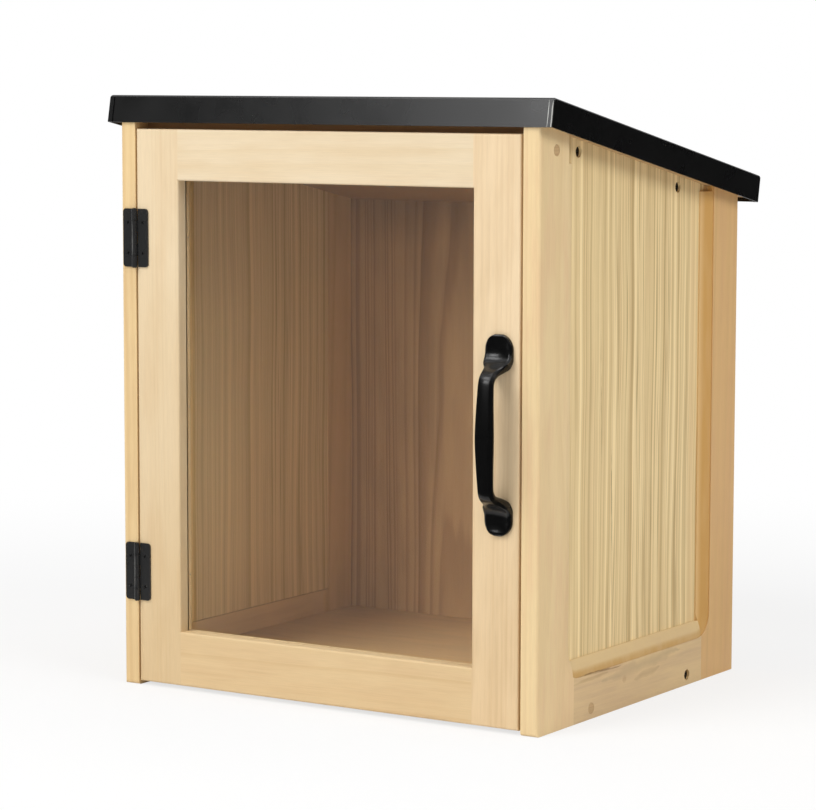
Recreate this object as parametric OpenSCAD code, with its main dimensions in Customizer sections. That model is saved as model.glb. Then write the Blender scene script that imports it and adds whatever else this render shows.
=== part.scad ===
// Street book exchange box: a pine cabinet with framed sides, one glazed door and a sloping roof under a
// folded sheet cap. Millimetres, +Z up. The origin is the middle of the base and the door faces -Y.

/* [Cabinet] */
// Width over the outer faces of the sides
cabinet_width = 350; // [320:1:400]
// Depth from the front edges of the sides to the back
cabinet_depth = 292; // [270:1:330]
// Height of the sides at their front edge
front_height = 412.75; // [380:0.05:440]
// Fall of the roof towards the back, in degrees
roof_slope = 11; // [7:0.5:13]
// Thickness of the side frames
side_thickness = 13; // [12.5:0.5:16]
// Rounding of the outer arrises of the side frames
side_arris = 2.5; // [1:0.25:3]
// Thickness of the floor board
floor_thickness = 18; // [14:0.5:22]
// Thickness of the ceiling board
ceiling_thickness = 12; // [11.5:0.5:16]
// Thickness of the back board
back_thickness = 12; // [10:0.5:16]
// Thickness of the header rail, front to back
header_thickness = 12; // [10:0.5:16]
// Height of the header rail at its front face
header_height = 27.5; // [24:0.5:34]

/* [Side frames] */
// Width of the plain face of the front stile
front_stile_face = 38; // [30:0.5:46]
// Width of the plain face of the rear stile
rear_stile_face = 40; // [32:0.5:48]
// Height of the plain face of the bottom rail
side_rail_face = 32; // [30:0.5:40]
// Width of the moulding round the field
moulding_width = 12; // [9:0.5:14]
// Square step between the face and the moulding
moulding_quirk = 0.8; // [0.4:0.1:1.4]
// Plain lip between the moulding and the field
moulding_lip = 1; // [0.5:0.1:1.6]
// Radius that the moulding cutter turns on in the corners
moulding_turn = 6; // [4:0.5:9]
// Length of the square notch where the moulding of the front stile stops below the roof board
front_moulding_stop = 18; // [8:0.5:24]
// Length of the square notch where the moulding of the rear stile stops below the roof board
rear_moulding_stop = 6; // [4:0.5:24]
// Depth of the field below the face of the frame
field_recess = 6; // [5:0.25:6.5]
// Width of the rebate that holds the field panel
field_rebate = 8; // [6:0.5:10]
// Play of the field panel in its rebate
field_play = 0.5; // [0.2:0.1:1]
// Diameter of the dowels in the frames
dowel_diameter = 6; // [5:0.5:6.5]
// Length of the dowels
dowel_length = 30; // [24:1:36]

/* [Roof] */
// Length of the roof along its slope
roof_length = 311; // [300:1:350]
// Overhang of the roof past each side
roof_side_overhang = 10; // [4:0.5:20]
// Distance along the slope from the front of the roof to the front of the cabinet
roof_front_overhang = 1.25; // [1.25:0.25:8]
// Thickness of the roof board
roof_board_thickness = 16; // [14:0.5:22]
// Thickness of the sheet cap
cap_sheet = 1; // [0.6:0.1:1.2]
// Height that the flanges of the cap hang below the roof board
cap_drop = 3; // [0:0.5:4]
// Outer radius of the bends of the cap
cap_bend = 1.8; // [1.6:0.1:2.4]
// Width of the corner laps of the cap
cap_lap = 4; // [3:0.5:8]

/* [Door] */
// Thickness of the door frame
door_thickness = 15; // [14:0.5:18]
// Gap between the door and the side at the hinges
door_hinge_gap = 1; // [0.8:0.1:2]
// Gap between the door and the side at the free edge
door_latch_gap = 2; // [1.5:0.1:3]
// Height of the lower edge of the door above the base
door_bottom = 3; // [2:0.5:8]
// Gap between the top of the door and the roof board, behind the front flange of the cap
door_top_gap = 4.5; // [4:0.1:7]
// Gap between the back of the door and what it closes against
door_stop_gap = 0.5; // [0.4:0.1:1.5]
// Width of the door stiles
door_stile = 37; // [34:0.5:44]
// Height of the top rail of the door
door_top_rail_height = 36.5; // [32:0.5:44]
// Height of the bottom rail of the door
door_bottom_rail_height = 39.5; // [34:0.5:46]
// Rounding of the front arrises of the door
door_arris = 1.5; // [0.8:0.1:2.5]
// Width of the rebate for the pane
pane_rebate = 7; // [5:0.5:8]
// Depth of the pane behind the face of the door
pane_setback = 9; // [7:0.5:9.5]
// Thickness of the pane
pane_thickness = 2; // [1.5:0.5:3]
// Play of the pane in its rebate
pane_play = 0.5; // [0.2:0.1:1]
// Rounding of the inner arris of the glazing beads
bead_arris = 1; // [0.5:0.1:1.5]

/* [Hinges] */
// Height of the lower hinge above the bottom of the door
lower_hinge_rise = 81; // [60:1:100]
// Distance of the upper hinge below the top of the door
upper_hinge_drop = 78.3; // [60:0.1:100]
// Length of the hinges
hinge_length = 42; // [36:1:50]
// Width of one leaf from the axis
leaf_width = 11; // [10:0.5:11.5]
// Thickness of a leaf
leaf_thickness = 1.2; // [1:0.1:1.4]
// Radius of the outer corners of a leaf
leaf_corner = 2.5; // [1:0.25:3]
// Outer diameter of the knuckles
knuckle_diameter = 4; // [3.6:0.1:4.2]
// Distance of the knuckles from the face of the door
knuckle_standoff = 0.3; // [0.2:0.05:0.5]
// Number of knuckles
knuckle_count = 5; // [3:2:7]
// Gap between two knuckles
knuckle_gap = 0.3; // [0.2:0.05:0.5]
// Diameter of the hinge pin
pin_diameter = 2.2; // [1.8:0.1:2.4]
// Diameter of the heads of the pin
pin_head_diameter = 3; // [2.6:0.1:3.4]
// Thickness of the heads of the pin
pin_head_thickness = 0.6; // [0.4:0.1:1]
// Distance between the screws of a leaf
leaf_screw_pitch = 22; // [16:1:28]

/* [Pull] */
// Height of the middle of the pull above the base
pull_height = 203.5; // [150:0.5:260]
// Distance of the pull from the free edge of the door
pull_inset = 15.3; // [13:0.1:18]
// Length of the pull over its feet
pull_length = 137; // [120:1:160]
// Width of the feet
foot_width = 21; // [18:0.5:24]
// Length of the feet, up to where they rise into the bow
foot_length = 20; // [18:0.5:24]
// Thickness of the rim of the feet
foot_thickness = 3; // [2.6:0.1:3.6]
// Distance of the middle line of the bow from the door
bow_standoff = 20.1; // [17:0.1:24]
// Width of the bow at its middle
bow_width = 14; // [12:0.5:16]
// Thickness of the bow at its middle
bow_thickness = 9; // [7.5:0.5:10]
// Distance from the end of a foot to its screw
pull_screw_inset = 22; // [21.5:0.5:23]
// Diameter of the screws of the pull
pull_screw_diameter = 4; // [3:0.5:4.5]

/* [Catch] */
// Length of the catch housing
catch_length = 34; // [30:1:40]
// Height of the catch housing
catch_height = 11; // [10:0.5:13]
// Depth of the catch housing
catch_depth = 11; // [9:0.5:12]
// Thickness of the strike plate
strike_thickness = 1; // [0.8:0.1:1.2]
// Gap between the strike plate and the pole plates of the magnet
catch_gap = 0.3; // [0.3:0.05:0.6]

/* [Screws] */
// Diameter of the wood screws
wood_screw_diameter = 3.6; // [3:0.1:4]
// Diameter of their countersunk heads
wood_screw_head = 7.6; // [7:0.1:8]
// Length of the wood screws
wood_screw_length = 30; // [26:1:35]
// Diameter of the counterbores and plugs in the sides
plug_diameter = 8; // [8:0.25:9]
// Thickness of the wooden plugs
plug_thickness = 4.5; // [3:0.5:5]
// Diameter of the small screws of the leaves, the catch and the strike plate
small_screw_diameter = 2.4; // [2:0.1:2.6]
// Diameter of their heads
small_screw_head = 4.8; // [4.4:0.1:5.2]
// Length of the small screws
small_screw_length = 11; // [9:0.5:12]
// Distance of the front ceiling screws from the front edges of the sides
front_ceiling_screw = 61.5; // [56:0.1:80]
// Distance of the rear ceiling screws from the back
rear_ceiling_screw = 85.5; // [70:0.5:100]
// Distance of the ceiling screws below the roof board
ceiling_screw_drop = 8.3; // [6:0.1:9]
// Height of the header screws above the underside of the header
header_screw_rise = 12.2; // [10:0.1:16]
// Distance of the floor screws from the front and back edges of the sides
floor_screw_inset = 74.5; // [62:0.5:100]
// Height of the floor screws above the base
floor_screw_rise = 7.5; // [6.5:0.1:10]
// Depth of the heads of the screws that have no plug below the wood round them
open_screw_sink = 1.8; // [0.5:0.1:2.5]
// Height of the heads of the screws in the roof cap
cap_screw_head = 1.5; // [1:0.1:2]
// Clearance round every screw, dowel and pin
fit_gap = 0.05; // [0.03:0.01:0.08]

/* [Hidden] */
$fn = 64;

pine = "#e3c795";
pine_dark = "#c9a673";
black_metal = "#1c1c1c";
steel = "#b9bcc0";
zinc = "#8e8f92";

// How far a cutter runs past the face that it starts from
past = 1;

// Places of two and of three fasteners along a length, as shares of it or of its half
quarters = [1 / 4, 3 / 4];
back_screw_columns = [-3 / 4, 0, 3 / 4];
roof_screw_columns = [-1 / 2, 0, 1 / 2];
cap_screw_columns = [-2 / 3, 0, 2 / 3];
brad_places = [-3 / 4, 0, 3 / 4];

front_y = -cabinet_depth / 2;
back_y = cabinet_depth / 2;
inner_half = cabinet_width / 2 - side_thickness;
front_stile_width = front_stile_face + moulding_width;
rear_stile_width = rear_stile_face + moulding_width;
side_rail_height = side_rail_face + moulding_width;
field_thickness = side_thickness - field_recess;
roof_thickness = roof_board_thickness + cap_sheet;
roof_width = cabinet_width + 2 * roof_side_overhang;

// Depth from the front of the cabinet at which the inner boards start
stop_depth = door_thickness + door_stop_gap;
inner_back = cabinet_depth - back_thickness;

// Height of the underside of the roof at a depth behind the front of the cabinet
function roof_at(depth) = front_height - tan(roof_slope) * depth;

// Vertical thickness of a sloping board
function plumb(thickness) = thickness / cos(roof_slope);

ceiling_start = stop_depth + header_thickness;

// The roof board bears on the sides, header and back, so the ceiling stops a hair below it
ceiling_gap = 0.05;

// How far down the slope the heads of the upper back screws lie, just under the face of the back board
back_screw_reach = plumb(cabinet_depth) + (ceiling_thickness - wood_screw_head) / 2 * tan(roof_slope);

header_bottom = roof_at(stop_depth) - header_height;

door_width = 2 * inner_half - door_hinge_gap - door_latch_gap;
door_left = -inner_half + door_hinge_gap;
door_height = roof_at(door_thickness) - door_top_gap - door_bottom;
window_width = door_width - 2 * door_stile;
window_height = door_height - door_top_rail_height - door_bottom_rail_height;
bead_depth = pane_setback + pane_thickness;
bead_thickness = door_thickness - bead_depth;

hinge_x = -inner_half + door_hinge_gap / 2;
hinge_y = front_y - knuckle_diameter / 2 - knuckle_standoff;
lower_hinge_z = door_bottom + lower_hinge_rise;
upper_hinge_z = door_bottom + door_height - upper_hinge_drop;
knuckle_pitch = hinge_length / knuckle_count;

pull_x = door_left + door_width - pull_inset;
pull_half = pull_length / 2;

// ---------- outline helpers ----------

// Waste of a rounded corner. The corner is at the origin and the material lies towards +X and +Y
module corner_waste(radius) {
    difference() {
        translate([-past, -past]) square(radius + past);
        translate([radius, radius]) circle(radius);
    }
}

// Rectangle from the origin with its two corners on the line y = 0 rounded
module eased_rectangle(width, depth, radius) {
    difference() {
        square([width, depth]);
        corner_waste(radius);
        translate([width, 0]) mirror([1, 0]) corner_waste(radius);
    }
}

// Extrudes an outline drawn in depth and height across the cabinet, centred on its middle
module across(width) {
    rotate([90, 0, 90]) linear_extrude(width, center = true) children();
}

// Outline of a board under the roof, from one depth to another, between two distances below the roof
module under_roof(from, to, above, below) {
    polygon([
        [front_y + from, roof_at(from) - below],
        [front_y + to, roof_at(to) - below],
        [front_y + to, roof_at(to) - above],
        [front_y + from, roof_at(from) - above]
    ]);
}

// ---------- fasteners ----------

// Countersunk screw. Its head is flush with z = 0 and it points down. A gap makes it the cutter of its hole,
// which opens above the head
module countersunk(length, diameter, head, gap = 0) {
    sink = (head - diameter) / 2;
    top = gap > 0 ? 2 * past : 0;
    rotate_extrude() polygon([
        [0, top],
        [head / 2 + gap, top],
        [head / 2 + gap, -gap],
        [diameter / 2 + gap, -sink - gap],
        [diameter / 2 + gap, -length - gap],
        [0, -length - gap]
    ]);
}

// Pan head screw. The head stands on z = 0 and the shank points down
module pan_head(length, diameter, head, head_height, gap = 0) {
    translate([0, 0, -length - gap]) cylinder(length + gap + past / 2, d = diameter + 2 * gap);
    cylinder(head_height, d = head + 2 * gap);
}

// ---------- side frames ----------

// Places a child drawn in depth, height and thickness from the inner face at the right side
module at_right() {
    translate([inner_half, front_y, 0]) rotate([90, 0, 90]) children();
}

module at_left() {
    mirror([1, 0, 0]) at_right() children();
}

module at_both_sides() {
    at_right() children();
    at_left() children();
}

// Whole blank of a side frame with rounded outer arrises and feet
module side_blank() {
    intersection() {
        linear_extrude(side_thickness) difference() {
            polygon([
                [0, 0],
                [cabinet_depth, 0],
                [cabinet_depth, roof_at(cabinet_depth)],
                [0, roof_at(0)]
            ]);
            corner_waste(side_arris);
            translate([cabinet_depth, 0]) mirror([1, 0]) corner_waste(side_arris);
        }
        translate([0, front_height, side_thickness]) rotate([90, 0, 0]) linear_extrude(front_height)
            mirror([0, 1]) eased_rectangle(cabinet_depth, side_thickness, side_arris);
    }
}

// Section of what the moulding cutter takes away, outward from the edge of the field
module moulding_section() {
    fall = field_recess - moulding_lip - moulding_quirk;
    radius = (moulding_width * moulding_width + fall * fall) / (2 * fall);
    difference() {
        translate([-past, side_thickness - field_recess + moulding_lip])
            square([moulding_width + past, field_recess - moulding_lip + past]);
        translate([moulding_width, side_thickness - moulding_quirk - radius]) circle(radius);
    }
}

// Straight run of the moulding cutter along +Y, with the frame on the +X side
module moulding_run(length) {
    translate([0, length, 0]) rotate([90, 0, 0]) linear_extrude(length) moulding_section();
}

// Quarter turn of the moulding cutter about the origin, from +X to +Y
module moulding_corner() {
    rotate_extrude(angle = 90) translate([moulding_turn, 0]) moulding_section();
}

// Everything that the moulding cutter removes: up the stiles, along the rail and round two corners
module moulding_waste() {
    left = front_stile_width + moulding_turn;
    right = cabinet_depth - rear_stile_width - moulding_turn;
    low = side_rail_height + moulding_turn;
    translate([front_stile_width, low, 0]) mirror([1, 0, 0]) moulding_run(front_height);
    translate([cabinet_depth - rear_stile_width, low, 0]) moulding_run(front_height);
    translate([left, side_rail_height, 0]) rotate([0, 0, -90]) moulding_run(right - left);
    translate([left, low, 0]) rotate([0, 0, 180]) moulding_corner();
    translate([right, low, 0]) rotate([0, 0, 270]) moulding_corner();
}

// Square notches at the tops of the stiles, where the moulding stops
module moulding_notches() {
    step = moulding_quirk + moulding_lip;
    front = front_stile_face + step;
    rear = cabinet_depth - rear_stile_width;
    translate([front, roof_at(front_stile_width) - front_moulding_stop, field_thickness])
        cube([front_stile_width - front + past, front_height, field_recess + past]);
    translate([rear - past, roof_at(rear) - rear_moulding_stop, field_thickness])
        cube([moulding_width - step + past, front_height, field_recess + past]);
}

// Rebate on the inner face for the field panel
module field_pocket() {
    width = cabinet_depth - front_stile_width - rear_stile_width + 2 * field_rebate;
    translate([front_stile_width - field_rebate, side_rail_height - field_rebate, -past])
        cube([width, front_height, field_thickness + past]);
}

// Two dowels in each joint between the bottom rail and the stiles
module side_dowel_set(gap = 0) {
    for (joint = [front_stile_width, cabinet_depth - rear_stile_width], level = quarters)
        translate([joint, side_rail_face * level + side_arris / 2, side_thickness / 2])
            rotate([0, 90, 0]) cylinder(dowel_length + 2 * gap, d = dowel_diameter + 2 * gap, center = true);
}

// Place of a screw in a side: its depth behind the front edge, its height, and the height of its head over
// the inner face of the side
function ceiling_screw(depth) =
    [depth, roof_at(depth) - ceiling_screw_drop, field_thickness - open_screw_sink];

plug_seat = side_thickness - plug_thickness;
plugged_screws = [
    [stop_depth + header_thickness / 2, header_bottom + header_screw_rise, plug_seat],
    [floor_screw_inset, floor_screw_rise, plug_seat]
];
open_screws = [
    ceiling_screw(front_ceiling_screw),
    ceiling_screw(cabinet_depth - rear_ceiling_screw),
    [cabinet_depth - floor_screw_inset, floor_screw_rise, side_thickness - open_screw_sink]
];
frame_screws = concat(plugged_screws, open_screws);

// The screws of one side: into the header, the ceiling and the floor
module side_screw_set(gap = 0) {
    for (place = frame_screws) translate(place)
        countersunk(wood_screw_length, wood_screw_diameter, wood_screw_head, gap);
}

// Counterbores over their heads
module side_counterbores() {
    for (place = frame_screws) translate(place) cylinder(side_thickness, d = plug_diameter);
}

// What is cut from every member of a side frame
module side_cuts() {
    moulding_waste();
    field_pocket();
    side_dowel_set(fit_gap);
    side_screw_set(fit_gap);
    side_counterbores();
}

module front_stile() {
    color(pine) difference() {
        intersection() {
            side_blank();
            translate([-past, -past, -past])
                cube([front_stile_width + past, front_height + 2 * past, side_thickness + 2 * past]);
        }
        side_cuts();
        moulding_notches();
    }
}

module rear_stile() {
    color(pine_dark) difference() {
        intersection() {
            side_blank();
            translate([cabinet_depth - rear_stile_width, -past, -past])
                cube([rear_stile_width + past, front_height + 2 * past, side_thickness + 2 * past]);
        }
        side_cuts();
        moulding_notches();
    }
}

module bottom_rail() {
    color(pine_dark) difference() {
        translate([front_stile_width, 0, 0])
            cube([cabinet_depth - front_stile_width - rear_stile_width, side_rail_height, side_thickness]);
        side_cuts();
    }
}

module field_panel() {
    left = front_stile_width - field_rebate + field_play;
    right = cabinet_depth - rear_stile_width + field_rebate - field_play;
    low = side_rail_height - field_rebate + field_play;
    color(pine) difference() {
        linear_extrude(field_thickness)
            polygon([[left, low], [right, low], [right, roof_at(right)], [left, roof_at(left)]]);
        side_screw_set(fit_gap);
        side_counterbores();
    }
}

module right_front_stile() {
    at_right() front_stile();
}

module right_rear_stile() {
    at_right() rear_stile();
}

module right_bottom_rail() {
    at_right() bottom_rail();
}

module right_field_panel() {
    at_right() field_panel();
}

module left_front_stile() {
    difference() {
        at_left() front_stile();
        hinge_screw_holes();
    }
}

module left_rear_stile() {
    at_left() rear_stile();
}

module left_bottom_rail() {
    at_left() bottom_rail();
}

module left_field_panel() {
    at_left() field_panel();
}

module side_dowels() {
    color(pine) at_both_sides() side_dowel_set();
}

module side_screws() {
    color(zinc) at_both_sides() side_screw_set();
}

module screw_plugs() {
    color(pine) at_both_sides() for (place = plugged_screws) translate(place) translate([0, 0, fit_gap])
        cylinder(plug_thickness - fit_gap, d = plug_diameter - 2 * fit_gap);
}

// ---------- inner boards ----------

module floor_panel() {
    color(pine) difference() {
        translate([-inner_half, front_y + stop_depth, 0])
            cube([2 * inner_half, inner_back - stop_depth, floor_thickness]);
        at_both_sides() side_screw_set(fit_gap);
        back_screw_set(fit_gap);
    }
}

module back_panel() {
    color(pine) difference() {
        across(2 * inner_half) polygon([
            [front_y + inner_back, 0],
            [back_y, 0],
            [back_y, roof_at(cabinet_depth)],
            [front_y + inner_back, roof_at(inner_back)]
        ]);
        back_screw_set(fit_gap);
    }
}

module header_rail() {
    color(pine) difference() {
        across(2 * inner_half) polygon([
            [front_y + stop_depth, header_bottom],
            [front_y + ceiling_start, header_bottom],
            [front_y + ceiling_start, roof_at(ceiling_start)],
            [front_y + stop_depth, roof_at(stop_depth)]
        ]);
        at_both_sides() side_screw_set(fit_gap);
        catch_screw_set(fit_gap);
    }
}

module ceiling_panel() {
    color(pine) difference() {
        across(2 * inner_half)
            under_roof(ceiling_start, inner_back, ceiling_gap, plumb(ceiling_thickness));
        at_both_sides() side_screw_set(fit_gap);
        back_screw_set(fit_gap);
        roof_screw_set(fit_gap);
    }
}

// Screws through the back: square into the floor, and down the slope into the rear edge of the ceiling
module back_screw_set(gap = 0) {
    for (column = back_screw_columns) translate([column * inner_half, 0, 0]) {
        translate([0, back_y, floor_thickness / 2]) rotate([-90, 0, 0])
            countersunk(wood_screw_length, wood_screw_diameter, wood_screw_head, gap);
        on_slope() translate([0, back_screw_reach, -ceiling_thickness / 2]) rotate([-90, 0, 0])
            countersunk(wood_screw_length, wood_screw_diameter, wood_screw_head, gap);
    }
}

module back_screws() {
    color(zinc) back_screw_set();
}

// ---------- roof ----------

// Places a child on the slope: x across, y down the slope, z square to it from the underside of the roof
module on_slope() {
    translate([0, front_y, front_height]) rotate([-roof_slope, 0, 0]) children();
}

// Block with its four upper edges rounded, on the outline of the roof less an inset all round
module roof_block(inset, radius, below = 0) {
    length = roof_length - 2 * inset;
    width = roof_width - 2 * inset;
    height = roof_thickness - inset + below;
    translate([-width / 2, inset - roof_front_overhang, -below]) intersection() {
        translate([0, 0, height]) rotate([90, 0, 90]) linear_extrude(width)
            mirror([0, 1]) eased_rectangle(length, height, radius);
        translate([0, length, height]) rotate([90, 0, 0]) linear_extrude(length)
            mirror([0, 1]) eased_rectangle(width, height, radius);
    }
}

// Lap of a side flange folded round the front right corner of the cap, with its back inside the front flange
module cap_corner_lap() {
    height = roof_thickness - cap_bend + cap_drop;
    outer_arris = cap_sheet * 4 / 5;
    translate([roof_width / 2 - cap_lap, -roof_front_overhang - cap_sheet, -cap_drop]) linear_extrude(height)
        difference() {
            square([cap_lap, cap_sheet * 3 / 2]);
            translate([cap_lap, 0]) mirror([1, 0]) corner_waste(outer_arris);
        }
}

module roof_cap() {
    color(black_metal) difference() {
        on_slope() {
            difference() {
                roof_block(0, cap_bend, cap_drop);
                roof_block(cap_sheet, cap_bend - cap_sheet, cap_drop + past);
            }
            for (side = [0, 1]) mirror([side, 0, 0]) {
                cap_corner_lap();
                translate([0, roof_length - 2 * roof_front_overhang, 0]) mirror([0, 1, 0]) cap_corner_lap();
            }
        }
        cap_screw_set(fit_gap);
    }
}

module roof_board() {
    color(pine) difference() {
        on_slope() roof_block(cap_sheet, cap_bend - cap_sheet);
        roof_screw_set(fit_gap);
        cap_screw_set(fit_gap);
    }
}

// Screws up through the ceiling into the roof board
module roof_screw_set(gap = 0) {
    bite = roof_board_thickness * 3 / 4;
    for (column = roof_screw_columns, depth = cabinet_depth * quarters)
        on_slope() translate([column * inner_half, depth, -ceiling_thickness]) mirror([0, 0, 1])
            countersunk(ceiling_thickness + bite, wood_screw_diameter, wood_screw_head, gap);
}

module roof_screws() {
    color(zinc) roof_screw_set();
}

// Screws through the rear flange of the cap into the roof board
module cap_screw_set(gap = 0) {
    flange_y = roof_length - roof_front_overhang;
    length = wood_screw_length / 2;
    for (column = cap_screw_columns)
        on_slope() translate([column * roof_width / 2, flange_y, roof_thickness / 2]) rotate([-90, 0, 0])
            pan_head(length, small_screw_diameter, small_screw_head, cap_screw_head, gap);
}

module cap_screws() {
    color(black_metal) cap_screw_set();
}

// ---------- door ----------

// Places a child drawn from the lower left front corner of the door
module at_door() {
    translate([door_left, front_y, door_bottom]) children();
}

module door_blank() {
    intersection() {
        linear_extrude(door_height) eased_rectangle(door_width, door_thickness, door_arris);
        translate([door_width, 0, 0]) rotate([0, -90, 0]) linear_extrude(door_width)
            eased_rectangle(door_height, door_thickness, door_arris);
    }
}

// Outline of a cut through the frame whose front edges open out in a quarter round
module flared_outline(width, depth, radius) {
    translate([0, -past]) square([width, depth + 2 * past]);
    difference() {
        translate([-radius, -past]) square([width + 2 * radius, radius + past]);
        translate([-radius, radius]) circle(radius);
        translate([width + radius, radius]) circle(radius);
    }
}

// Window opening with rounded front arrises, from its lower left front corner
module flared_opening(width, height, depth, radius) {
    intersection() {
        translate([0, 0, -radius]) linear_extrude(height + 2 * radius) flared_outline(width, depth, radius);
        translate([width + radius, 0, 0]) rotate([0, -90, 0]) linear_extrude(width + 2 * radius)
            flared_outline(height, depth, radius);
    }
}

module at_window() {
    at_door() translate([door_stile, 0, door_bottom_rail_height]) children();
}

// Everything cut from the members of the door
module door_cuts() {
    at_window() {
        flared_opening(window_width, window_height, door_thickness, door_arris);
        translate([-pane_rebate, pane_setback, -pane_rebate])
            cube([window_width + 2 * pane_rebate, door_thickness, window_height + 2 * pane_rebate]);
    }
    door_dowel_set(fit_gap);
    bead_pin_set(fit_gap);
    hinge_screw_holes();
    handle_screw_set(fit_gap);
    strike_screw_set(fit_gap);
}

// Part of the door blank between two corners, less all its cuts
module door_member(from_x, to_x, from_z, to_z) {
    color(pine) difference() {
        at_door() intersection() {
            door_blank();
            translate([from_x, -past, from_z])
                cube([to_x - from_x, door_thickness + 2 * past, to_z - from_z]);
        }
        door_cuts();
    }
}

module door_hinge_stile() {
    door_member(-past, door_stile, -past, door_height + past);
}

module door_latch_stile() {
    door_member(door_width - door_stile, door_width + past, -past, door_height + past);
}

module door_top_rail() {
    door_member(door_stile, door_width - door_stile, door_height - door_top_rail_height, door_height + past);
}

module door_bottom_rail() {
    door_member(door_stile, door_width - door_stile, -past, door_bottom_rail_height);
}

// Two dowels in each corner joint of the door
module door_dowel_set(gap = 0) {
    rails = [
        [0, door_bottom_rail_height - pane_rebate],
        [door_height - door_top_rail_height + pane_rebate, door_height]
    ];
    for (joint = [door_stile, door_width - door_stile], rail = rails, level = quarters)
        at_door() translate([joint, pane_setback / 2, rail[0] + (rail[1] - rail[0]) * level])
            rotate([0, 90, 0]) cylinder(dowel_length + 2 * gap, d = dowel_diameter + 2 * gap, center = true);
}

module door_dowels() {
    color(pine) door_dowel_set();
}

module window_pane() {
    reach = pane_rebate - pane_play;
    color("lightcyan", 0.3) at_window() translate([-reach, pane_setback, -reach])
        cube([window_width + 2 * reach, pane_thickness, window_height + 2 * reach]);
}

// Frame of the four beads, flush with the back of the door
module bead_frame() {
    reach = pane_rebate;
    translate([0, door_thickness, 0]) mirror([0, 1, 0]) difference() {
        translate([-reach, 0, -reach])
            cube([window_width + 2 * reach, bead_thickness, window_height + 2 * reach]);
        flared_opening(window_width, window_height, bead_thickness, bead_arris);
    }
}

// One side of the frame of beads, cut off by the mitres. Points are given in width and height
module bead(points) {
    color(pine) difference() {
        at_window() intersection() {
            bead_frame();
            translate([0, door_thickness + past, 0]) rotate([90, 0, 0])
                linear_extrude(door_thickness) polygon(points);
        }
        bead_pin_set(fit_gap);
    }
}

module bead_left() {
    reach = pane_rebate;
    bead([[-reach, -reach], [0, 0], [0, window_height], [-reach, window_height + reach]]);
}

module bead_right() {
    reach = pane_rebate;
    bead([
        [window_width + reach, -reach],
        [window_width + reach, window_height + reach],
        [window_width, window_height],
        [window_width, 0]
    ]);
}

module bead_bottom() {
    reach = pane_rebate;
    bead([[-reach, -reach], [window_width + reach, -reach], [window_width, 0], [0, 0]]);
}

module bead_top() {
    reach = pane_rebate;
    bead([
        [-reach, window_height + reach],
        [0, window_height],
        [window_width, window_height],
        [window_width + reach, window_height + reach]
    ]);
}

brad_diameter = 1.2;
brad_length = 15;

// Brads through the beads into the frame, three to a bead
module bead_pin_set(gap = 0) {
    half = [window_width / 2, window_height / 2];
    for (turn = [0, 180], place = brad_places)
        at_window() translate([half[0], bead_depth + bead_thickness / 2, half[1]]) rotate([0, turn, 0]) {
            translate([half[0] - gap, 0, place * half[1]]) rotate([0, 90, 0])
                cylinder(brad_length + 2 * gap, d = brad_diameter + 2 * gap);
            translate([place * half[0], 0, half[1] - gap])
                cylinder(brad_length + 2 * gap, d = brad_diameter + 2 * gap);
        }
}

module bead_pins() {
    color(steel) bead_pin_set();
}

// ---------- hinges ----------

// Plan of a leaf with its web into the knuckle, on the +X side of the pin
module leaf_plate(height, rounded) {
    back = knuckle_diameter / 2 + knuckle_standoff;
    reach = knuckle_diameter / 2 + knuckle_gap;
    translate([0, back, 0]) rotate([90, 0, 0]) linear_extrude(leaf_thickness) difference() {
        translate([reach, -height / 2]) square([leaf_width - reach, height]);
        translate([leaf_width, height / 2]) rotate(180) corner_waste(rounded);
        translate([leaf_width, -height / 2]) rotate(90) corner_waste(rounded);
    }
}

// Where the web of a knuckle starts, where its step lies and how high it rises, as shares of the radius, and
// how far it stays inside the back of the leaf, as a share of the thickness of the leaf
web_root = 0.25;
web_step = 0.9;
web_rise = 0.95;
web_tuck = 1 / 8;

// One knuckle with the web that ties it to its leaf
module knuckle(height) {
    radius = knuckle_diameter / 2;
    front = radius + knuckle_standoff - leaf_thickness;
    linear_extrude(height, center = true) difference() {
        union() {
            circle(radius);
            translate([radius * web_root, front]) square([radius + knuckle_gap, radius * web_rise - front]);
            translate([radius * web_step, front])
                square([radius * (1 - web_step) + knuckle_gap + past / 2, leaf_thickness * (1 - web_tuck)]);
        }
        circle(d = pin_diameter + 2 * fit_gap);
    }
}

// A leaf on the +X side of the pin. Fixed leaves take the odd knuckles, moving leaves the even ones
module leaf(fixed) {
    first = fixed ? 0 : 1;
    difference() {
        union() {
            leaf_plate(hinge_length, leaf_corner);
            for (index = [first:2:knuckle_count - 1])
                translate([0, 0, (index + 0.5) * knuckle_pitch - hinge_length / 2])
                    knuckle(knuckle_pitch - knuckle_gap);
        }
        leaf_screw_set(fit_gap);
    }
}

// The two screws of a leaf on the +X side of the pin
module leaf_screw_set(gap = 0) {
    front = knuckle_diameter / 2 + knuckle_standoff - leaf_thickness;
    middle = (leaf_width + knuckle_diameter / 2) / 2;
    for (side = [-1, 1])
        translate([middle, front, side * leaf_screw_pitch / 2]) rotate([90, 0, 0])
            countersunk(small_screw_length, small_screw_diameter, small_screw_head, gap);
}

module at_hinge(height) {
    translate([hinge_x, hinge_y, height]) children();
}

module fixed_leaf(height) {
    color(black_metal) at_hinge(height) mirror([1, 0, 0]) leaf(true);
}

module moving_leaf(height) {
    color(black_metal) at_hinge(height) leaf(false);
}

module hinge_pin(height) {
    color(black_metal) at_hinge(height) {
        cylinder(hinge_length, d = pin_diameter, center = true);
        for (side = [0, 1]) mirror([0, 0, side])
            translate([0, 0, hinge_length / 2 - knuckle_gap / 2])
                cylinder(pin_head_thickness, d = pin_head_diameter);
    }
}

module upper_hinge_fixed_leaf() {
    fixed_leaf(upper_hinge_z);
}

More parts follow.
